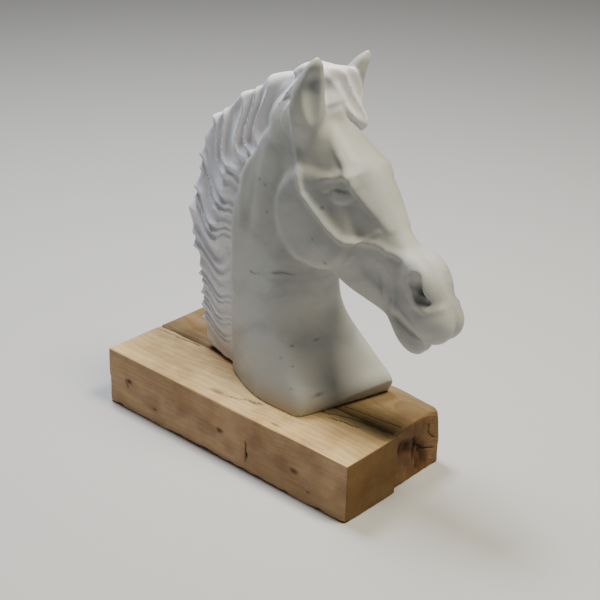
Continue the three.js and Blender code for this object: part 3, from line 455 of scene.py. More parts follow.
def far_losses(p, normal, half):
    """The rotted hollow in the front end, up to 7 mm deep along a bent line, and torn end fibres."""
    y, z = p[:, 1], p[:, 2]
    front = ease(normal[:, 0], 0.6, 0.9)
    crumbled = clamp(0.75 + 0.4 * wander(y / 4, z / 4, 33), 0, 1)
    hollow = HOLLOW_DEPTH * (1 - ease(line_reach(y, z, END_HOLLOW), 3, 15)) * crumbled
    torn = clamp(wander(y / 3, z / 5, 35), 0, 1) * 0.8
    return front * (hollow + torn)


def far_stains_and_seam_shade(p, normal, half):
    """Dark rot along the hollow's line, smudges of the end, painted shade on the top within 9 mm of the seam,
    and the top darker in patches towards its front end.
    """
    y, z = p[:, 1], p[:, 2]
    front = ease(normal[:, 0], 0.4, 0.8)
    rot = (1 - ease(line_reach(y, z, END_HOLLOW), 4, 22)) * 0.95
    smudge = clamp(0.3 + 0.5 * wander(y / 12, z / 10, 36), 0, 0.6)
    top = ease(normal[:, 2], 0.5, 0.8)
    # painted shade on the top along the seam
    seam = 0.5 * top * ease(-y, half[1] - 9, half[1]) * clamp(0.5 + wander(p[:, 0] / 20, 0, 38), 0, 1)
    return front * np.maximum(rot, smudge) + seam + 0.3 * top * ease(p[:, 0], half[0] - 50, half[0]) * smudge


def far_cracks(p, normal, half):
    """1 in the middle of a crack of the end grain or the top and 0 from 1.4 mm away."""
    ragged = 0.7 * wander(p[:, 1] / 3, p[:, 2] / 3, 41)
    ends = sum(1 - ease(line_reach(p[:, 1] + ragged, p[:, 2], line), 0.3, 1.4) for line in END_CRACKS)
    top = 1 - ease(line_reach(p[:, 0], p[:, 1] + 2 * ragged, FAR_TOP_CRACK), 0.2, 1.4)
    return clamp(ends * ease(normal[:, 0], 0.5, 0.8) + top * ease(normal[:, 2], 0.5, 0.8), 0, 1)


# The same old sawn pine, more weathered; its dull grey-brown top is painted shade, for the head's shadow on
# it.
far_wood = sawn_softwood("rough_sawn_pine_far", FAR_PITH, FAR_SIDE_COLOURS, FAR_SHADED_TOP_COLOURS, FAR_END_COLOURS)
far_timber = sawn_beam("far_timber", "far_beam", 9, far_radius, far_losses, far_stains_and_seam_shade, far_cracks, far_wood)
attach(far_timber, "root")
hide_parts("far_beam")


# The carving: one block of white marble with soft grey veins, cut as a horse's head and neck, rubbed
# smooth on the face and neck and left from the chisel in the mane. Its foot is sawn flat and stands
# loose on both beams. It is written as a field in millimetres that is negative inside the stone, then
# meshed where the field is zero. X is forwards, Y to the far side and Z up from the stone's foot,
# and the stone's own middle stands STONE_SHIFT_Y to the far side of the seam between the beams.

STONE_SHIFT_Y = 12.0
SEAT_GAP = 0.3


def join(a, b, k):
    """Union with a fillet: min(a, b) - k h * h / 4 with h = max(k - |a - b|, 0) / k."""
    h = np.maximum(k - np.abs(a - b), 0) / k
    return np.minimum(a, b) - h * h * k * 0.25


def meet(a, b, k):
    """Overlap with a rounded edge: the mirror image of join."""
    return -join(-a, -b, k)


def carve(a, b, k):
    """a with b cut away: the overlap of a and all that is outside b."""
    return meet(a, -b, k)


def profile(pairs):
    """A smooth curve through (position, value): cubic pieces with averaged slopes, sampled once."""
    x, y = np.array(pairs, float).T
    gap, rise = np.diff(x), np.diff(y) / np.diff(x)
    between = (rise[:-1] * gap[1:] + rise[1:] * gap[:-1]) / (gap[1:] + gap[:-1])
    slope = np.concatenate([rise[:1], between, rise[-1:]])
    at = np.linspace(x[0], x[-1], 513)
    k = clamp(np.searchsorted(x, at, "right") - 1, 0, len(gap) - 1)
    s = (at - x[k]) / gap[k]
    table = ((2 * s**3 - 3 * s**2 + 1) * y[k] + (s**3 - 2 * s**2 + s) * gap[k] * slope[k]
             + (3 * s**2 - 2 * s**3) * y[k + 1] + (s**3 - s**2) * gap[k] * slope[k + 1])
    return lambda position: np.interp(position, at, table)


def section(a, b, ra, rb, power):
    """Radial distance to the superellipse |a / ra| ** power + |b / rb| ** power = 1."""
    reach = np.hypot(a, b) + 1e-6
    q = (np.abs(a / ra) ** power + np.abs(b / rb) ** power) ** (1 / power)
    return reach - reach / np.maximum(q, 1e-6)


def egg(x, y, z, c, r):
    """Nearly the distance to an ellipsoid: k0 (k0 - 1) / k1 with k0 = |d / r| and k1 = |d / r / r|."""
    d = [(p - m) / s for p, m, s in zip((x, y, z), c, r)]
    k0 = np.sqrt(sum(p * p for p in d))
    return k0 * (k0 - 1) / np.maximum(np.sqrt(sum((p / s) ** 2 for p, s in zip(d, r))), 1e-9)


def rope(x, y, z, stations, k):
    """Round cones through stations (x, y, z, radius), joined with fillets of k.

    Each is the distance to the nearest place on its line, less the radius there.
    """
    field = None
    for a, b in zip(stations, stations[1:]):
        e = [b[m] - a[m] for m in range(3)]
        h = clamp(((x - a[0]) * e[0] + (y - a[1]) * e[1] + (z - a[2]) * e[2]) / sum(m * m for m in e), 0, 1)
        reach = np.sqrt((x - a[0] - h * e[0]) ** 2 + (y - a[1] - h * e[1]) ** 2 + (z - a[2] - h * e[2]) ** 2)
        cone = reach - (a[3] + (b[3] - a[3]) * h)
        field = cone if field is None else join(field, cone, k)
    return field


def ridge(a, b, stations, width):
    """Height of a soft ridge along stations (a, b, height) of a side view: height * exp(-(d / width)^2)."""
    best = np.full(np.shape(a), np.inf)
    height = np.zeros(np.shape(a))
    for p, q in zip(stations, stations[1:]):
        ex, ey = q[0] - p[0], q[1] - p[1]
        h = clamp(((a - p[0]) * ex + (b - p[1]) * ey) / (ex * ex + ey * ey), 0, 1)
        reach = np.hypot(a - p[0] - h * ex, b - p[1] - h * ey)
        height = np.where(reach < best, p[2] + h * (q[2] - p[2]), height)
        best = np.minimum(best, reach)
    return height * np.exp(-((best / width) ** 2))


def mound(a, b, ca, cb, ra, rb, turn):
    """Height of a flat-topped mound: exp(-q * q), q the squared distance in half axes ra and rb."""
    c, s = np.cos(np.radians(turn)), np.sin(np.radians(turn))
    q = (((a - ca) * c + (b - cb) * s) / ra) ** 2 + (((b - cb) * c - (a - ca) * s) / rb) ** 2
    return np.exp(-q * q)


# The head runs along its own lines: u down the face from the poll, v out of the face, w to the far
# side. Its skull is a rounded block, with the plate of the jaw muscle standing out over the neck.
FACE_SLOPE = np.radians(47)
POLL_X, POLL_Z = 60, 400
face_top = profile([[-60, -46], [-30, -26], [0, -14], [30, -5], [60, 1], [90, 5], [115, 7], [140, 5],
                    [170, 1], [195, -1], [225, 2], [250, 7], [275, 10], [300, 4], [318, -10], [330, -26]])
face_under = profile([[-60, -70], [-20, -84], [20, -96], [60, -108], [90, -116], [130, -124], [165, -127],
                      [195, -121], [215, -113], [235, -101], [256, -88], [283, -78], [300, -70], [320, -60],
                      [330, -50]])
face_half = profile([[-60, 16], [-20, 25], [20, 33], [60, 37], [90, 40], [120, 41], [150, 37], [175, 31],
                     [200, 26.5], [225, 23], [250, 21.5], [275, 22], [300, 21], [318, 16], [330, 10]])
face_squareness = profile([[-60, 2.2], [60, 2.8], [125, 3.2], [200, 2.8], [260, 2.5], [330, 2.4]])
SKULL_BACK, SKULL_FRONT = -22, 315
JAW_U, JAW_V, JAW_RADIUS, JAW_HALF, JAW_CROWN, JAW_RIM = 125, -82, 62.5, 46, 3, 14


def skull(u, v, w):
    """Superellipses between the top and under profiles of the face, closed at the poll and the lips."""
    at = clamp(u, -58, 328)
    top, under = face_top(at), face_under(at)
    middle, half = (top + under) / 2, (top - under) / 2
    side = clamp((v - middle) / half, -1, 1)
    width = face_half(at) * (1 - 0.1 * side * ease(at, 150, 60) + 0.04 * side * ease(at, 130, 200))
    block = section(v - middle, w, half, width, face_squareness(at))
    return meet(block, np.maximum(SKULL_BACK - u, u - SKULL_FRONT), 28)


def jaw_plate(u, v, w):
    """A round plate about (JAW_U, JAW_V), a little crowned: the overlap of its rim and its two faces."""
    reach = np.hypot(u - JAW_U, v - JAW_V)
    crown = JAW_CROWN * ease(reach, JAW_RADIUS / 3, JAW_RADIUS)
    return meet(reach - JAW_RADIUS, np.abs(w) - JAW_HALF + crown, JAW_RIM)


# Ridges and hollows on the side of the head. A ridge is a line of (u, v, height), and a mound or a
# hollow is (height, middle u, middle v, half lengths, turn in degrees).
CHEEKBONE = [[50, -52, 1.5], [74, -63, 3], [94, -68, 4.5], [124, -61, 6.5], [149, -57, 7],
             [162, -54, 6], [171, -48, 5.5], [181, -35, 5], [190, -24, 4.5], [208, -14, 4], [224, -4, 3],
             [238, 4, 2]]
CHEEKBONE_BRANCH = [[177, -38, 2.6], [180, -14, 1.5]]
NOSE_EDGE = [[60, -6, 1], [80, -5, 2.5], [103, -3, 4], [130, -6, 3], [157, -5, 3], [185, -4, 2]]
MOUTH_FOLD = [[205, -20, 2], [215, -26, 3], [226, -32, 3], [239, -38, 3], [252, -46, 3], [264, -56, 3]]
MOUTH_CREASES = [[[214, -44, 1.2], [232, -56, 1.6], [246, -62, 1]], [[205, -34, 1], [216, -40, 1.2]]]
BROW = [[93, -38, 1.5], [98, -24, 4], [105, -10, 5], [113, 0, 5], [122, -3, 3]]
NOSTRIL_RIM = [[226, -2, 2.5], [240, -16, 3.5], [254, -21, 4], [272, -22, 4], [286, -12, 4], [291, 2, 3]]
UPPER_LID = [[110, -42, 1], [113, -26, 1], [124, -12, 1], [136, -10, 1]]
LOWER_LID = [[112, -40, 1], [126, -38, 1], [135, -26, 1], [136, -12, 1]]
LIP_EDGE = [[268, -50, 1], [284, -45, 1.4], [300, -38, 1.2]]
ORBIT = (-5, 138, -33, 36, 21, 12)
CHEEK_HOLLOW = (-2.5, 222, -50, 24, 14, 20)
TEMPLE_HOLLOW = (-1.5, 70, -30, 26, 16, 0)
EYEBALL = (2.8, 124, -26, 13.5, 9, 52)


def side_relief(u, v):
    """How far the side of the head stands out: ridges and mounds less hollows and creases."""
    relief = 1.1 * ridge(u, v, CHEEKBONE, 4.4) + ridge(u, v, CHEEKBONE_BRANCH, 3.0)
    relief += 1.1 * ridge(u, v, NOSE_EDGE, 4.6) + ridge(u, v, MOUTH_FOLD, 4.2)
    relief += ridge(u, v, BROW, 5.5) + ridge(u, v, NOSTRIL_RIM, 4.5)
    for height, *place in (ORBIT, CHEEK_HOLLOW, TEMPLE_HOLLOW, EYEBALL):
        relief += height * mound(u, v, *place)
    relief -= 0.7 * ridge(u, v, UPPER_LID, 2.4) + 0.5 * ridge(u, v, LOWER_LID, 2.2)
    # the lid's fold, beside the crease
    relief += 0.4 * ridge(u + 3.4, v - 1.2, UPPER_LID, 2.4)
    relief += ridge(u, v, LIP_EDGE, 3)
    for crease in MOUTH_CREASES:
        relief -= 1.3 * ridge(u, v, crease, 2.4)
    return relief


# The muzzle is built of eggs, each with its middle and half lengths in (u, v, w).
NOSTRIL_EGG = ((250, -4, 13), (28, 17, 15))
UPPER_LIP = ((301, -24, 9), (24, 27, 17))
LOWER_LIP = ((284, -66, 7), (32, 13, 17))
CHIN = ((299, -68, 4), (23, 14, 15))
MOUTH_CORNER = ((259, -54, 19), (8, 7, 6))
MUZZLE_START = 170
NOSTRIL = [[247, 1, 30, 8.5], [254, -6, 28.5, 9], [266, -10, 24.5, 7.8], [277, -6, 21, 4.5]]
NOSTRIL_BORE = [[254, -5, 25, 7], [264, -9, 11, 6]]
MOUTH_LINE = [[262, -60, 27, 2], [275, -57, 24, 2.5], [296, -51, 20, 3], [316, -44, 12, 4], [330, -42, 0, 5]]


def head(u, v, w):
    """Skull and jaw plate less the side relief, with nostrils and mouth cut, lips and chin joined on."""
    side = np.abs(w)
    field = join(skull(u, v, w), jaw_plate(u, v, w), 6)
    field = field - side_relief(u, v) * ease(side, 6, 17)
    muzzle = join(field, egg(u, v, side, *NOSTRIL_EGG), 14)
    muzzle = carve(muzzle, rope(u, v, side, NOSTRIL, 4), 2.5)
    muzzle = carve(muzzle, rope(u, v, side, NOSTRIL_BORE, 3), 2)
    muzzle = join(muzzle, egg(u, v, side, *UPPER_LIP), 10)
    muzzle = join(muzzle, egg(u, v, side, *LOWER_LIP), 8)
    muzzle = join(muzzle, egg(u, v, side, *CHIN), 10)
    muzzle = carve(muzzle, rope(u, v, side, MOUTH_LINE, 3), 3)
    muzzle = join(muzzle, egg(u, v, side, *MOUTH_CORNER), 5)
    return np.where(u > MUZZLE_START, muzzle, field)


def lock_crest(count, sharpness):
    """1 on the ridge of each lock and 0 in the hollow between two: |2 frac(count) - 1| ** sharpness."""
    return np.abs(2 * (count - np.floor(count)) - 1) ** sharpness


# The forelock is swept over the brow towards the far side of the face.
FORELOCK_SWEEP = np.radians(48.7)
FORELOCK_EDGE, FORELOCK_LIP, FORELOCK_CREST, FORELOCK_BACK, FORELOCK_UNDER = 26, 7, 426, -34, -20
FORELOCK_NEAR, FORELOCK_FAR = -15, 13
FORELOCK_LOCK, FORELOCK_RELIEF, FORELOCK_STEEP = 14, 4.5, 1.05


def forelock(u, v, w, z):
    """A wedge whose face rises from a slanting lower edge to a crest, with locks laid side by side.

    Its face is a plane across the sweep, steeper towards the near side, less the relief of the locks.
    """
    across = u * np.sin(FORELOCK_SWEEP) - w * np.cos(FORELOCK_SWEEP) - FORELOCK_EDGE
    along = u * np.cos(FORELOCK_SWEEP) + w * np.sin(FORELOCK_SWEEP)
    count = (0.33 * along - 15 - across) / FORELOCK_LOCK
    strands = 0.5 * lock_crest(3 * count + 0.4 * np.sin(along / 9), 1)
    steep = FORELOCK_STEEP - 0.016 * clamp(along - 10, 0, 50)
    face = FORELOCK_LIP - across * steep - FORELOCK_RELIEF * (1 - lock_crest(count, 1.6)) - strands
    field = meet((v - face) * 0.68, z - FORELOCK_CREST, 10)
    field = meet(field, across, 5)
    far = FORELOCK_FAR + 0.6 * clamp(along, 0, 40)
    field = meet(field, np.maximum(FORELOCK_NEAR - w, w - far), 8)
    return meet(field, np.maximum(FORELOCK_BACK - u, FORELOCK_UNDER - v), 10)


# The neck is a tapered block, narrow behind, where the mane grows, and broad in front, with two
# bands of muscle behind the jaw. Its ears are leaves with the hollow turned forwards and outwards.
neck_rear = profile([[-20, -54], [0, -55], [100, -57], [170, -57], [223, -56], [250, -50], [281, -41],
                     [305, -25], [333, -9], [347, 3], [371, 22], [390, 42], [420, 70]])
neck_front = profile([[-20, 114], [0, 118], [15, 120], [23, 119], [41, 108], [67, 95], [95, 83], [117, 77],
                      [150, 76], [200, 78], [250, 88], [300, 98], [340, 100], [370, 96], [420, 80]])
neck_half = profile([[-20, 66], [0, 66], [50, 62], [100, 57], [150, 52], [200, 44], [250, 37], [300, 33],
                     [340, 30], [370, 27], [395, 20], [420, 10]])
neck_back_half = profile([[-20, 31], [0, 31], [50, 32], [100, 33], [150, 34], [200, 34], [250, 31],
                          [300, 28], [350, 25], [420, 10]])
CHEST_SKEW = 0.36
NECK_TOP = 402
JAW_MUSCLE = (5.5, 12, 288, 24, 78, -10)
CREST_MUSCLE = (3, -26, 262, 13, 52, -8)


def neck(x, y, z):
    """The overlap of side, rear and front planes that follow profiles of height, with rounded edges."""
    at = clamp(z, -20, 418)
    rear = neck_rear(at)
    front = (x - y * CHEST_SKEW * ease(z, 150, 20) - neck_front(at)) * 0.9
    t = clamp((x - rear) / 100, 0, 1)
    narrow = neck_back_half(at)
    half = narrow + (neck_half(at) - narrow) * t * (1.5 - 0.5 * t * t)
    muscle = sum(height * mound(x, z, *place) for height, *place in (JAW_MUSCLE, CREST_MUSCLE))
    # shallow dents left by the rasp
    dents = 0.3 * wander(x / 16, (z + y) / 22, 51) + 0.1 * wander(x / 6, z / 8, 52)
    field = meet((np.abs(y) - half) * 0.93 - muscle - dents, (rear - x) * 0.95, 12)
    field = meet(field, front, 10 + 36 * ease(z, 10, 110))
    return meet(field, z - NECK_TOP, 30)


# An ear is a leaf of round slices about a line that leans out as it rises: (height, x, y or radius).
EAR_ROOT, EAR_TOP = 300, 455
FAR_EAR_LEAN, LEAN_FROM, LEAN_TO = (7, 2, 6), 380, 445
ear_x = profile([[300, 55], [335, 60], [358, 64], [380, 67], [405, 72], [427, 79], [442, 85], [455, 90]])
ear_y = profile([[300, 20], [335, 24], [358, 29], [380, 33], [405, 37], [427, 39], [455, 41]])
ear_half = profile([[300, 4], [335, 13], [358, 18], [380, 20.5], [405, 18], [427, 12.5], [441, 6.5],
                    [448, 0], [455, -9]])
hollow_x = profile([[355, 84], [372, 86], [390, 90], [410, 93], [430, 96], [455, 100]])
hollow_y = profile([[355, 40], [372, 43], [390, 47], [410, 50], [430, 50], [455, 46]])
hollow_half = profile([[355, -7], [372, 4], [390, 11], [410, 13], [430, 9.5], [455, 0]])


def ear(x, y, z):
    """Distance to a line that follows height less the radius there, with a like hollow cut in front.

    The far ear leans further forwards and inwards.
    """
    lean = np.where(y > 0, ease(z, LEAN_FROM, LEAN_TO), 0)
    forwards, inwards, down = FAR_EAR_LEAN
    x, y, z = x - forwards * lean, np.abs(y) + inwards * lean, z + down * lean
    at = clamp(z, EAR_ROOT, EAR_TOP)
    leaf = (np.hypot(x - ear_x(at), y - ear_y(at)) - ear_half(at)) * 0.85
    hollow = (np.hypot(x - hollow_x(at), y - hollow_y(at)) - hollow_half(at)) * 0.85
    return np.maximum(carve(leaf, hollow, 5), EAR_ROOT - z)


# The mane is a fin round the back of the neck, written round one centre. Its locks are cut with
# sharp ridges and hollow faces, and each carries a few finer cuts. Its profiles are (angle, value),
# the angle in degrees up from level behind the centre; mane_count numbers the locks.
MANE_X, MANE_Z, MANE_DEPTH, MANE_LEVEL_REACH = 40, 180, 80, 190
MANE_FIRST, MANE_LAST, MANE_END = -64, 118, 104
MANE_FOOT, MANE_FRONT, MANE_CORE = 4, -10, 95
MANE_EDGE_HALF, MANE_SWELL, MANE_POLL_SWELL = 13, 12, 7
MANE_LOW_RELIEF, MANE_HIGH_RELIEF = 3.5, 7
mane_reach = profile([[-64, 268], [-55, 250], [-47, 238], [-31, 203], [-17.6, 191], [-3.2, 197], [16, 191],
                      [40, 209], [61.6, 212], [82.5, 232], [95, 247], [106, 246], [120, 236]])
mane_count = profile([[-64, 0], [-47, 1.5], [-31, 6.5], [-22, 9], [-3, 12], [16, 15], [40, 18.2],
                      [61.6, 20.8], [82.5, 23], [102, 25], [118, 26.5]])


def mane(x, y, z):
    """Half width 13 to 25 mm less the relief of the locks, out to a scalloped edge round the centre.

    Locks point at the centre, turn level below it and swing by a sine. lock_crest gives their ridges.
    """
    reach = np.hypot(x - MANE_X, z - MANE_Z)
    phi = np.degrees(np.arctan2(z - MANE_Z, MANE_X - x))
    phi = np.where(phi < -90, phi + 360, phi)
    at = clamp(phi, MANE_FIRST, MANE_LAST)
    depth = mane_reach(at) - reach
    out = clamp(1 - depth / MANE_DEPTH, 0, 1.1)
    sway = 2.2 + 3.3 * ease(at, -35, 5)
    level = np.degrees((z - MANE_Z) / MANE_LEVEL_REACH)
    run = at + (level - at) * ease(z, 210, 110) + sway * np.sin(5.3 * out)
    phase = mane_count(clamp(run, MANE_FIRST, MANE_LAST))
    phase = phase + 0.22 * np.sin(2.4 * phase)
    crest = lock_crest(phase, 1.8)
    bunch = 0.5 - 0.5 * np.cos(np.pi * phase)
    fine = 0.8 * (1 - lock_crest(3 * phase + 0.5 * np.sin(9 * out + phase), 1.0)) * ease(depth, 2, 14)
    deepest = MANE_LOW_RELIEF + (MANE_HIGH_RELIEF - MANE_LOW_RELIEF) * ease(at, -35, 5)
    relief = deepest * ease(depth, -4, 16) * (1 - 0.7 * ease(depth, 55, 80))
    poll = ease(at, 66, 92)
    half = MANE_EDGE_HALF + MANE_SWELL * ease(depth, 0, 70) + MANE_POLL_SWELL * poll
    half = half - (relief + fine) * (1 - crest)
    edge = (2.5 * (1 - crest) + 4.5 * bunch - depth) * 0.9
    field = meet((np.abs(y) - half) * 0.85, edge, 9 + 13 * poll)
    field = meet(field, 3 * (phi - MANE_END), 32)
    field = np.maximum(np.maximum(field, MANE_CORE - reach), MANE_FOOT - z)
    return np.where(z < 150, np.maximum(field, x - MANE_FRONT), field)


# a low bevel is cut off the foot of the chest, and the foot is sawn flat
BEVEL_NEAR, BEVEL_FAR, BEVEL_TOP = np.array([[96, -63, 0], [129, 59, 0], [142, 61, 23]], float)
bevel_normal = np.cross(BEVEL_FAR - BEVEL_NEAR, BEVEL_TOP - BEVEL_NEAR)
bevel_normal /= np.linalg.norm(bevel_normal)
BEVEL_REACH = 40
HEAD_LOWEST, FORELOCK_LOWEST, FORELOCK_LAST = 90, 300, 90


def head_lines(x, z):
    """(u, v): the place in the head's own lines, turned by the slope of the face about the poll."""
    dx, dz = x - POLL_X, z - POLL_Z
    return (dx * np.cos(FACE_SLOPE) - dz * np.sin(FACE_SLOPE),
            dx * np.sin(FACE_SLOPE) + dz * np.cos(FACE_SLOPE))


def horse(x, y, z):
    """Neck, head, ears, mane and forelock joined, with the bevel and all below the foot cut away."""
    u, v = head_lines(x, z)
    field = neck(x, y, z)
    normal_x, normal_y, normal_z = bevel_normal
    bevel = (x - BEVEL_NEAR[0]) * normal_x + (y - BEVEL_NEAR[1]) * normal_y + z * normal_z
    field = np.where(z < BEVEL_REACH, np.maximum(field, bevel), field)
    high = join(join(field, head(u, v, y), 4), ear(x, y, z), 7)
    field = np.where(z > HEAD_LOWEST, high, field)
    field = join(field, mane(x, y, z), 3)
    on_brow = (u < FORELOCK_LAST) & (z > FORELOCK_LOWEST)
    field = np.where(on_brow, join(field, forelock(u, v, y, z), 3), field)
    return np.maximum(field, -z)


BLOCK = 4
BLOCK_REACH = 1.9


def skin_of(field, low, high, step):
    """One point in every grid cube that the skin crosses, and a square over every crossed grid edge.

    Blocks of grid cubes whose middle is more than BLOCK_REACH blocks from the skin aren't worked out
    point by point. A cube's point is the mean of the places where the skin crosses its edges. It is
    then walked to the skin: p - f(p) * grad f / |grad f| ** 2, three times.
    """
    count = np.ceil(np.subtract(high, low) / (step * BLOCK)).astype(int) * BLOCK
    axes = [low[m] + step * np.arange(count[m] + 1) for m in range(3)]
    middles = np.meshgrid(*[low[m] + step * (np.arange(0, count[m], BLOCK) + BLOCK / 2) for m in range(3)],
                          indexing="ij")
    rough = field(*[m.ravel() for m in middles]).reshape(middles[0].shape)
    grown = np.ones((BLOCK,) * 3)
    values = np.full(count + 1, 1e3)
    values[:-1, :-1, :-1] = np.kron(rough, grown)
    close = np.zeros(count + 1, bool)
    close[:-1, :-1, :-1] = np.kron(np.abs(rough) < BLOCK * step * BLOCK_REACH, grown) > 0
    i, j, k = np.nonzero(close)
    values[i, j, k] = field(axes[0][i], axes[1][j], axes[2][k])
    inside = values < 0
    corner = [(a, b, c) for a in (0, 1) for b in (0, 1) for c in (0, 1)]
    shape = tuple(count)

    def cut(array, a, b, c):
        """The array seen from a cube's corner (a, b, c)."""
        return array[a:a + shape[0], b:b + shape[1], c:c + shape[2]]

    inner = sum(cut(inside, *m).astype(np.int8) for m in corner)
    crossed = (inner > 0) & (inner < 8)
    number = np.full(shape, -1)
    number[crossed] = np.arange(crossed.sum())
    total = np.zeros((int(crossed.sum()), 3))
    edges = np.zeros(len(total))
    ijk = np.stack(np.nonzero(crossed), 1)
    for a, b, c in corner:
        for axis in range(3):
            if (a, b, c)[axis]:
                continue
            far = [a, b, c]
            far[axis] = 1
            p = values[ijk[:, 0] + a, ijk[:, 1] + b, ijk[:, 2] + c]
            q = values[ijk[:, 0] + far[0], ijk[:, 1] + far[1], ijk[:, 2] + far[2]]
            on = (p < 0) != (q < 0)
            t = np.where(on, p / np.where(on, p - q, 1), 0)
            step_in = np.zeros(3)
            step_in[axis] = 1
            total += np.where(on[:, None], np.array([a, b, c]) + t[:, None] * step_in, 0)
            edges += on
    points = np.array(low) + (ijk + total / edges[:, None]) * step
    for _ in range(3):
        value = field(*points.T)
        nudge = step / 20
        slope = np.stack([(field(*(points + nudge * np.eye(3)[m]).T) - value) / nudge for m in range(3)], 1)
        walk = clamp(value / np.maximum((slope**2).sum(1), 0.1), -step / 3, step / 3)
        points = points - walk[:, None] * slope
    quads = []
    for axis in range(3):
        one = np.eye(3, dtype=int)[axis]
        a, b = np.eye(3, dtype=int)[(axis + 1) % 3], np.eye(3, dtype=int)[(axis + 2) % 3]
        first = inside[1:-1, 1:-1, 1:-1]
        second = inside[1 + one[0]:inside.shape[0] - 1 + one[0], 1 + one[1]:inside.shape[1] - 1 + one[1],
                        1 + one[2]:inside.shape[2] - 1 + one[2]]
        at = np.stack(np.nonzero(first != second), 1)
        ring = np.stack([number[tuple((at + 1 - d).T)] for d in (a + b, b, 0 * a, a)], 1)
        flip = first[tuple(at.T)]
        quads.append(np.where(flip[:, None], ring, ring[:, ::-1]))
    return points, np.concatenate(quads)


# the stone stands SEAT_GAP above the beams, and no point of it leaves the box of the plain part
SKIN_LOW, SKIN_HIGH, SKIN_STEP = (-178, -78, -6), (290, 78, 460), 2.15
skin, squares = skin_of(horse, SKIN_LOW, SKIN_HIGH, SKIN_STEP)
beam_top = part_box("near_beam")[1][2] * 1000
stone = skin + [MIDDLE_X * 1000, STONE_SHIFT_Y, beam_top + SEAT_GAP]
stone_low, stone_high = (np.array(corner) * 1000 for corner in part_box("horse_head"))
stone = clamp(stone, stone_low, stone_high)


# White Carrara marble, rubbed to a satin with fine grit: it gives the eye a soft even shine over a
# white-grey ground with broad pale clouds, a few thin blue-grey veins and specks. A broad band of the
# mark colour on the near ear is painted shade in its hollow. In the mane and forelock the bruised
# crystals under the chisel leave it whiter and rougher. The crystals are about 0.3 mm and are drawn at
# 1.1 mm, so that they show. Marks are (x, z) in the side view.
MARBLE_WARP_MM, CLOUD_MM, VEINING_MM, CRYSTAL_MM, RUBBING_MM = 166.7, 111.1, 142.9, 1.111, 16.67
# the first two lines are veins; the third, broad and strongest, is painted shade in the hollow of the near
# ear
VEIN_AND_EAR_SHADE_LINES = [[(-8, 157), (15, 163), (43, 173), (61, 176), (72, 173)],
         [(112, 342), (132, 327), (145, 314), (155, 301)],
         [(87, 434), (84, 420), (81, 408)]]
VEIN_AND_SHADE_WIDTHS = (1.2, 0.7, 5.5)
VEIN_AND_SHADE_STRENGTHS = (0.5, 0.32, 0.62)
SPECKS = [(104, 274, 2.2), (10, 275, 2.0), (-1, 279, 1.6), (15, 242, 1.8), (92, 232, 1.6), (67, 83, 1.9),
          (58, 67, 1.5), (80, 34, 1.6), (104, 26, 2.6), (91, 85, 1.8), (82, 87, 1.5), (74, 60, 1.3),
          (110, 206, 2.4)]
CHEEK_CLOUD = (0.22, 145, 270, 78, 60, -40)
GROUND_COLOUR, CLOUD_COLOUR, VEIN_COLOUR = "#bbbcb6", "#9b9da0", "#7d8289"
CHISELLED_COLOUR, MARK_AND_SHADE_COLOUR = "#e2e2e7", "#646b70"


def stone_marks_and_ear_shade(x, y, z):
    """Weight of the dark marks on the near side: ragged veins, round specks, a cloud on the cheek and painted
    shade in the near ear's hollow.

    A vein, and the band of painted shade in the ear, fades over twice its width from its line and a speck
    is exp(-(d / size) ** 2). The greatest of these counts, and the cloud is added.
    """
    ragged = 1.2 * wander(x / 5, z / 5, 61)
    mark = np.zeros(len(x))
    broken = clamp(1 + wander(x / 9, z / 9, 62), 0.2, 1.4)
    for line, width, strength in zip(VEIN_AND_EAR_SHADE_LINES, VEIN_AND_SHADE_WIDTHS, VEIN_AND_SHADE_STRENGTHS):
        mark = np.maximum(mark, strength * broken * (1 - ease(line_reach(x, z + ragged, line), 0, 2 * width)))
    for sx, sz, size in SPECKS:
        mark = np.maximum(mark, 0.8 * np.exp(-((x - sx) ** 2 + ((z - sz) * 1.2) ** 2) / size**2))
    weight, *place = CHEEK_CLOUD
    mark = mark + weight * mound(x, z, *place) * clamp(0.7 + 0.5 * wander(x / 20, z / 20, 63), 0, 1)
    return clamp(mark * ease(-y, -2, 12), 0, 1)


def hair_weight(x, y, z):
    """1 up to 0.5 mm outside the plain mane and forelock, easing to 0 at 2.5 mm outside them."""
    u, v = head_lines(x, z)
    fin = ease(mane(x, y, z), 2.5, 0.5)
    return np.maximum(fin, np.where(z > 340, ease(forelock(u, v, y, z), 2.5, 0.5), 0))


marble, nodes, output = new_material("satin_carrara_marble")
place = add(nodes, "TexCoord").outputs["Object"]
warp = add(nodes, "TexNoise", {"Scale": 1000 / MARBLE_WARP_MM, "Detail": 4.0, "Roughness": 0.55},
           {"Vector": place})
bent = add(nodes, "VectorMath", {"operation": "MULTIPLY_ADD", 1: (0.09, 0.09, 0.09)},
           {0: warp.outputs["Color"], 2: place})
clouds = add(nodes, "TexNoise", {"Scale": 1000 / CLOUD_MM, "Detail": 6.0, "Roughness": 0.6},
             {"Vector": add(nodes, "Mapping", {"Rotation": (0.3, 0.7, 0.2), "Scale": (1, 1, 2.2)},
                            {"Vector": bent.outputs["Vector"]}).outputs["Vector"]})
veining = add(nodes, "TexNoise", {"noise_type": "RIDGED_MULTIFRACTAL", "Scale": 1000 / VEINING_MM,
                                  "Detail": 3.0, "Roughness": 0.5, "Lacunarity": 2.2, "Offset": 0.9,
                                  "Gain": 2.0},
              {"Vector": add(nodes, "Mapping", {"Rotation": (0.2, 0.5, 0.4), "Scale": (1, 1, 1.8)},
                             {"Vector": bent.outputs["Vector"]}).outputs["Vector"]})
crystals = add(nodes, "TexNoise", {"Scale": 1000 / CRYSTAL_MM, "Detail": 2.0}, {"Vector": place})
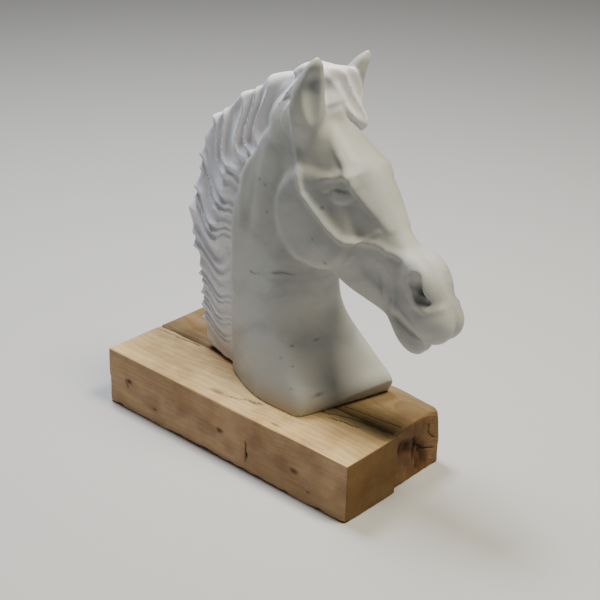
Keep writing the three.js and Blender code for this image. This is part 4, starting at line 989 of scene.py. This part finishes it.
rubbing = add(nodes, "TexNoise", {"Scale": 1000 / RUBBING_MM, "Detail": 4.0, "Roughness": 0.6},
              {"Vector": place})
marks = add(nodes, "Attribute", {"attribute_name": "marks"}).outputs["Fac"]
hair = add(nodes, "Attribute", {"attribute_name": "hair"}).outputs["Fac"]
cloud_share = add(nodes, "MapRange", {"From Min": 0.4, "From Max": 0.72, "To Max": 0.34},
                  {"Value": clouds.outputs["Fac"]}).outputs["Result"]
vein_share = add(nodes, "MapRange", {"From Min": 0.82, "From Max": 1.4, "To Max": 0.35},
                 {"Value": veining.outputs["Fac"]}).outputs["Result"]
ground = mix_colours(nodes, cloud_share, linear(GROUND_COLOUR), linear(CLOUD_COLOUR))
ground = mix_colours(nodes, vein_share, ground, linear(VEIN_COLOUR))
ground = mix_colours(nodes, hair, ground, linear(CHISELLED_COLOUR))
# the marks: veins, specks and the cheek cloud, with painted shade in the near ear's hollow
ground = mix_colours(nodes, marks, ground, linear(MARK_AND_SHADE_COLOUR))
gloss = add(nodes, "MapRange", {"To Min": 0.42, "To Max": 0.62}, {"Value": rubbing.outputs["Fac"]})
rougher = add(nodes, "Math", {"operation": "MULTIPLY_ADD", 1: 0.2}, {0: hair, 2: gloss.outputs["Result"]})
height = add(nodes, "Math", {"operation": "MULTIPLY_ADD", 1: 0.5},
             {0: crystals.outputs["Fac"], 2: rubbing.outputs["Fac"]})
bump = add(nodes, "Bump", {"Strength": 0.22, "Distance": 0.0006}, {"Height": height.outputs[0]})
shader = add(nodes, "BsdfPrincipled", {
    "IOR": 1.5, "Specular IOR Level": 0.35, "Subsurface Weight": 0.05, "Subsurface Scale": 0.002,
    "Subsurface Radius": (1.0, 0.9, 0.8)},
    {"Base Color": ground, "Roughness": rougher.outputs[0], "Normal": bump.outputs["Normal"]})
nodes.id_data.links.new(shader.outputs["BSDF"], output.inputs["Surface"])

carved_head = object_from("carved_head", stone / 1000, [squares], marble,
                          {"marks": stone_marks_and_ear_shade(*skin.T), "hair": hair_weight(*skin.T)})
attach(carved_head, "root")
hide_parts("horse_head")
